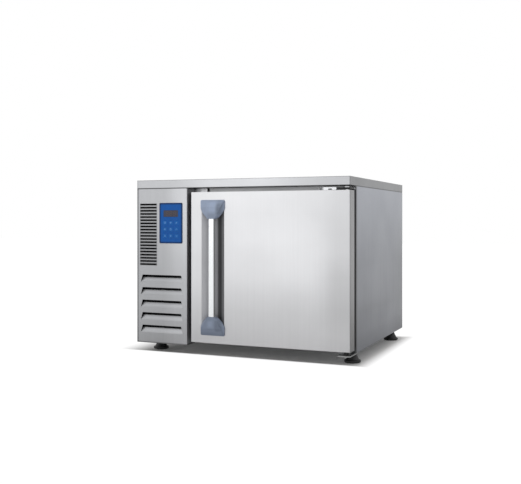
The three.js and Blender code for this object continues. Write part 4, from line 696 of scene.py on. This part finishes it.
# ------------------------------------------------------------------ printed keypad
STROKE = 1.3 * MM
STROKE_END = STROKE / 3  # how far an open line runs past its end points
PRINT = 0.12 * MM  # how far the printed ink stands on a key
INK_LAYER = 0.02 * MM  # how much further each next line of an icon stands
MITRE_LIMIT = 0.5  # keeps the mitre of a sharp corner short
DIGIT_PITCH = 13.5 * MM
DIGIT_HALF_WIDTH = 4.0 * MM
DIGIT_HALF_HEIGHT = 6.8 * MM
DIGIT_BAR = 0.8 * MM  # half the width of a segment
DIGIT_LEAN = 0.1


def arc(radius, start, end, steps=16):
    """Points on a circle round the origin, between two angles in degrees."""
    return [(radius * math.cos(math.radians(start + (end - start) * i / steps)),
             radius * math.sin(math.radians(start + (end - start) * i / steps))) for i in range(steps + 1)]


ICONS = [
    [arc(3.2, 0, 360), [(0, 2.1), (0, 0), (1.7, 0)]],  # clock
    [[(-3.2, 0), (3.2, 0)], [(-1.6, -2.8), (1.6, 2.8)], [(-1.6, 2.8), (1.6, -2.8)]],  # frost star
    [[(-3.2, -3.2), (1.4, 1.4)], arc(1.6, 0, 360, 10)],  # probe
    [[(0, 3.4)] + arc(2.2, 0, -180, 8) + [(0, 3.4)]],  # drop
    [arc(3.0, 120, 420), [(0, 3.6), (0, 0.6)]],  # power
    [[(-3.0, -1.4), (0, 2.2), (3.0, -1.4)]],  # up
    [arc(1.2, 0, 360, 8), [(0, 1.2), (0, 3.6)], [(1.0, -0.6), (3.1, -1.8)],
     [(-1.0, -0.6), (-3.1, -1.8)]],  # fan
    [[(-2.2, -3.0), (2.8, 0), (-2.2, 3.0), (-2.2, -3.0)]],  # start
    [[(-3.0, 1.4), (0, -2.2), (3.0, 1.4)]],  # down
]


def draw_stroke(builder, points, place, layer):
    """A line of ink through points given in millimetres, mitred at its corners."""
    line = [Vector(point) * MM for point in points]
    closed = (line[0] - line[-1]).length < SAME_POINT
    if closed:
        line.pop()
    else:
        outwards = (line[0] - line[1]).normalized(), (line[-1] - line[-2]).normalized()
        line[0] += outwards[0] * STROKE_END
        line[-1] += outwards[1] * STROKE_END
    count = len(line)
    depth = PRINT + layer * INK_LAYER
    rails = []
    for i, point in enumerate(line):
        into = (point - line[i - 1]).normalized() if closed or i > 0 else (line[1] - point).normalized()
        out = (line[(i + 1) % count] - point).normalized() if closed or i < count - 1 else into
        along = (into + out).normalized()
        side = Vector((-along.y, along.x)) * STROKE / 2 / max(MITRE_LIMIT, along.dot(out))
        corners = ((point - side, -depth), (point + side, -depth), (point + side, depth),
                   (point - side, depth))
        rails.append([builder.verts.new(place(corner.x, corner.y, z)) for corner, z in corners])
    for i in range(count if closed else count - 1):
        rail, following = rails[i], rails[(i + 1) % count]
        for j in range(4):
            builder.faces.new((rail[j], rail[(j + 1) % 4], following[(j + 1) % 4], following[j]))
    if not closed:
        builder.faces.new(rails[0])
        builder.faces.new(rails[-1])


def keypad_print():
    """An icon on each key, and the unlit segments of three digits on the display window."""
    for i, strokes in enumerate(ICONS):
        low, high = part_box(f"key_{i + 1}")
        place = on_front((low.x + high.x) / 2, low.y, (low.z + high.z) / 2)

        def icon(builder, strokes=strokes, place=place):
            for layer, points in enumerate(strokes):
                draw_stroke(builder, points, place, layer)

        make_piece(f"key_{i + 1}_icon", "print", f"key_{i + 1}_body", icon)
    low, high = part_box("display_window")
    window_place = on_front((low.x + high.x) / 2, low.y, (low.z + high.z) / 2)
    bar = DIGIT_BAR

    def digits(builder):
        outlines = []
        for shift in (-DIGIT_PITCH, 0, DIGIT_PITCH):
            for v in (-DIGIT_HALF_HEIGHT, 0, DIGIT_HALF_HEIGHT):
                u = shift + DIGIT_LEAN * v
                u0, u1 = u - DIGIT_HALF_WIDTH, u + DIGIT_HALF_WIDTH
                outlines.append([(u0 + bar, v), (u0 + 2 * bar, v + bar), (u1 - 2 * bar, v + bar),
                                 (u1 - bar, v), (u1 - 2 * bar, v - bar), (u0 + 2 * bar, v - bar)])
            for side in (-DIGIT_HALF_WIDTH, DIGIT_HALF_WIDTH):
                for v0, v1 in ((-DIGIT_HALF_HEIGHT + bar, -bar), (bar, DIGIT_HALF_HEIGHT - bar)):
                    u0, u1 = shift + side + DIGIT_LEAN * v0, shift + side + DIGIT_LEAN * v1
                    outlines.append([(u0 - bar, v0), (u0 + bar, v0), (u1 + bar, v1), (u1 - bar, v1)])
        for outline in outlines:
            draw_prism(builder, outline, -PRINT / 2, PRINT, window_place)

    make_piece("display_digits", "segment", "cabinet", digits)


back_panel_fittings()
foot_nuts()
frame_trim()
hinge_covers()
keypad_print()

# ------------------------------------------------------------------ floor, lights, camera
FLOOR_SIZE = 24.0
FLOOR_COLOR = (0.90, 0.89, 0.88)
SHADOW_FRONT = 0.062  # behind the door's front face, where the shadow under the body ends
SHADOW_EDGE = 0.014  # how soft that end is
SHADOW_LIGHT = 0.042  # the stray light in it
SHADOW_LEFT = 0.12  # how far the shadow runs past the left side
SHADOW_RIGHT = 0.045  # and past the right side and the back
DARK_STRIP = (0.55, ("X", LEFT_SIDE + 10 * MM, 0.05, 0.06))  # the darker shadow under the left side
MIRROR_FADE = (0.3, 1.2)  # past the outline, where the floor turns white in reflections
MIRROR_RAYS = ["Is Glossy Ray", "Is Transmission Ray"]
CAMERA_RAYS = ["Is Camera Ray"]
AMBIENT = 0.60
# name, place, target, size, power in watts
LIGHTS = [
    ("overhead", (-0.2, -0.5, 3.4), (0, 0, 0), (2.4, 2.4), 20),
    ("front_left", (-1.5, -3.8, 1.1), (-0.1, -0.3, 0.4), (1.1, 1.3), 5.5),
]


def ray_kinds(tree, kinds):
    """1 for a ray of any of the kinds, 0 for the others."""
    path = tree.nodes.new("ShaderNodeLightPath")
    total = path.outputs[kinds[0]]
    for kind in kinds[1:]:
        node = tree.nodes.new("ShaderNodeMath")
        node.operation = "MAXIMUM"
        tree.links.new(total, node.inputs[0])
        tree.links.new(path.outputs[kind], node.inputs[1])
        total = node.outputs[0]
    return total


def make_world():
    """White for what the camera and the reflections see, and a plain soft light for the rest."""
    world = bpy.data.worlds.new("studio")
    bpy.context.scene.world = world
    world.use_nodes = True
    tree = world.node_tree
    background = tree.nodes["Background"]
    background.inputs["Color"].default_value = (1, 1, 1, 1)
    seen = ray_kinds(tree, CAMERA_RAYS + MIRROR_RAYS)
    strength = tree.nodes.new("ShaderNodeMapRange")
    strength.inputs["To Min"].default_value = AMBIENT
    strength.inputs["To Max"].default_value = 1.0
    tree.links.new(seen, strength.inputs["Value"])
    tree.links.new(strength.outputs[0], background.inputs["Strength"])


def make_floor():
    """A pale floor that keeps the shadow and fades to plain white away from the object."""
    mesh = bpy.data.meshes.new("floor")
    half = FLOOR_SIZE / 2
    corners = [(-half, -half, 0), (half, -half, 0), (half, half, 0), (-half, half, 0)]
    mesh.from_pydata(corners, [], [(0, 1, 2, 3)])
    floor = bpy.data.objects.new("floor", mesh)
    bpy.context.scene.collection.objects.link(floor)
    shader = Shader("pale_floor", FLOOR_COLOR, roughness=0.9)
    grain = shader.tint(shader.noise(6.0), amount=0.01)
    floor_color = shader.shade_bands(grain, [DARK_STRIP])
    right = shader.math("SUBTRACT", shader.axis("X"), WIDTH / 2)
    left = shader.math("SUBTRACT", -WIDTH / 2, shader.axis("X"))
    before = shader.math("SUBTRACT", DOOR_FRONT + SHADOW_FRONT, shader.axis("Y"))
    behind = shader.math("SUBTRACT", shader.axis("Y"), BACK)
    lit_front = shader.ramp(before, SHADOW_LIGHT, 1, end=SHADOW_EDGE)
    lit_left = shader.ramp(left, 0, 1, end=SHADOW_LEFT)
    lit_right = shader.ramp(shader.math("MAXIMUM", right, behind), 0, 1, end=SHADOW_RIGHT)
    lit_round = shader.math("MAXIMUM", lit_left, lit_right)
    lit = shader.math("MAXIMUM", lit_front, lit_round)
    beside = shader.math("MAXIMUM", left, right)
    tree = shader.material.node_tree
    seen = shader.math("MULTIPLY", ray_kinds(tree, CAMERA_RAYS), lit)
    past = shader.math("MAXIMUM", shader.math("MAXIMUM", beside, behind),
                       shader.math("SUBTRACT", before, SHADOW_FRONT))
    mirrored = shader.math("MULTIPLY", ray_kinds(tree, MIRROR_RAYS), shader.ramp(past, 0, 1, *MIRROR_FADE))
    white = shader.math("MAXIMUM", seen, mirrored)
    shader.set_color(shader.mix(white, floor_color, (0, 0, 0)))
    shader.principled.inputs["Emission Color"].default_value = (1, 1, 1, 1)
    shader.link(white, shader.principled, "Emission Strength")
    mesh.materials.append(shader.material)


def area_light(name, place, target, size, power):
    """A soft rectangular lamp at a place, turned to a target."""
    data = bpy.data.lights.new(name, "AREA")
    data.shape = "RECTANGLE"
    data.size, data.size_y = size
    data.energy = power
    light = bpy.data.objects.new(name, data)
    bpy.context.scene.collection.objects.link(light)
    light.location = place
    light.rotation_euler = (Vector(target) - Vector(place)).to_track_quat("-Z", "Y").to_euler()


def make_camera():
    """The photograph's camera: level, turned by its yaw, with the picture shifted to the horizon."""
    data = bpy.data.cameras.new("camera")
    data.sensor_width = SENSOR
    data.lens = FOCAL_PIXELS / IMAGE_WIDTH * SENSOR
    data.shift_y = -(IMAGE_HEIGHT / 2 - HORIZON_ROW) / IMAGE_WIDTH
    camera = bpy.data.objects.new("camera", data)
    bpy.context.scene.collection.objects.link(camera)
    camera.location = (LEFT_SIDE + CAMERA_FROM_LEFT_SIDE, DOOR_FRONT - CAMERA_BEFORE_DOOR,
                       CAMERA_HEIGHT)
    camera.rotation_euler = (math.pi / 2, 0, CAMERA_YAW)
    bpy.context.scene.camera = camera


bpy.context.scene.view_settings.view_transform = "Standard"
make_world()
make_floor()
for light in LIGHTS:
    area_light(*light)
make_camera()
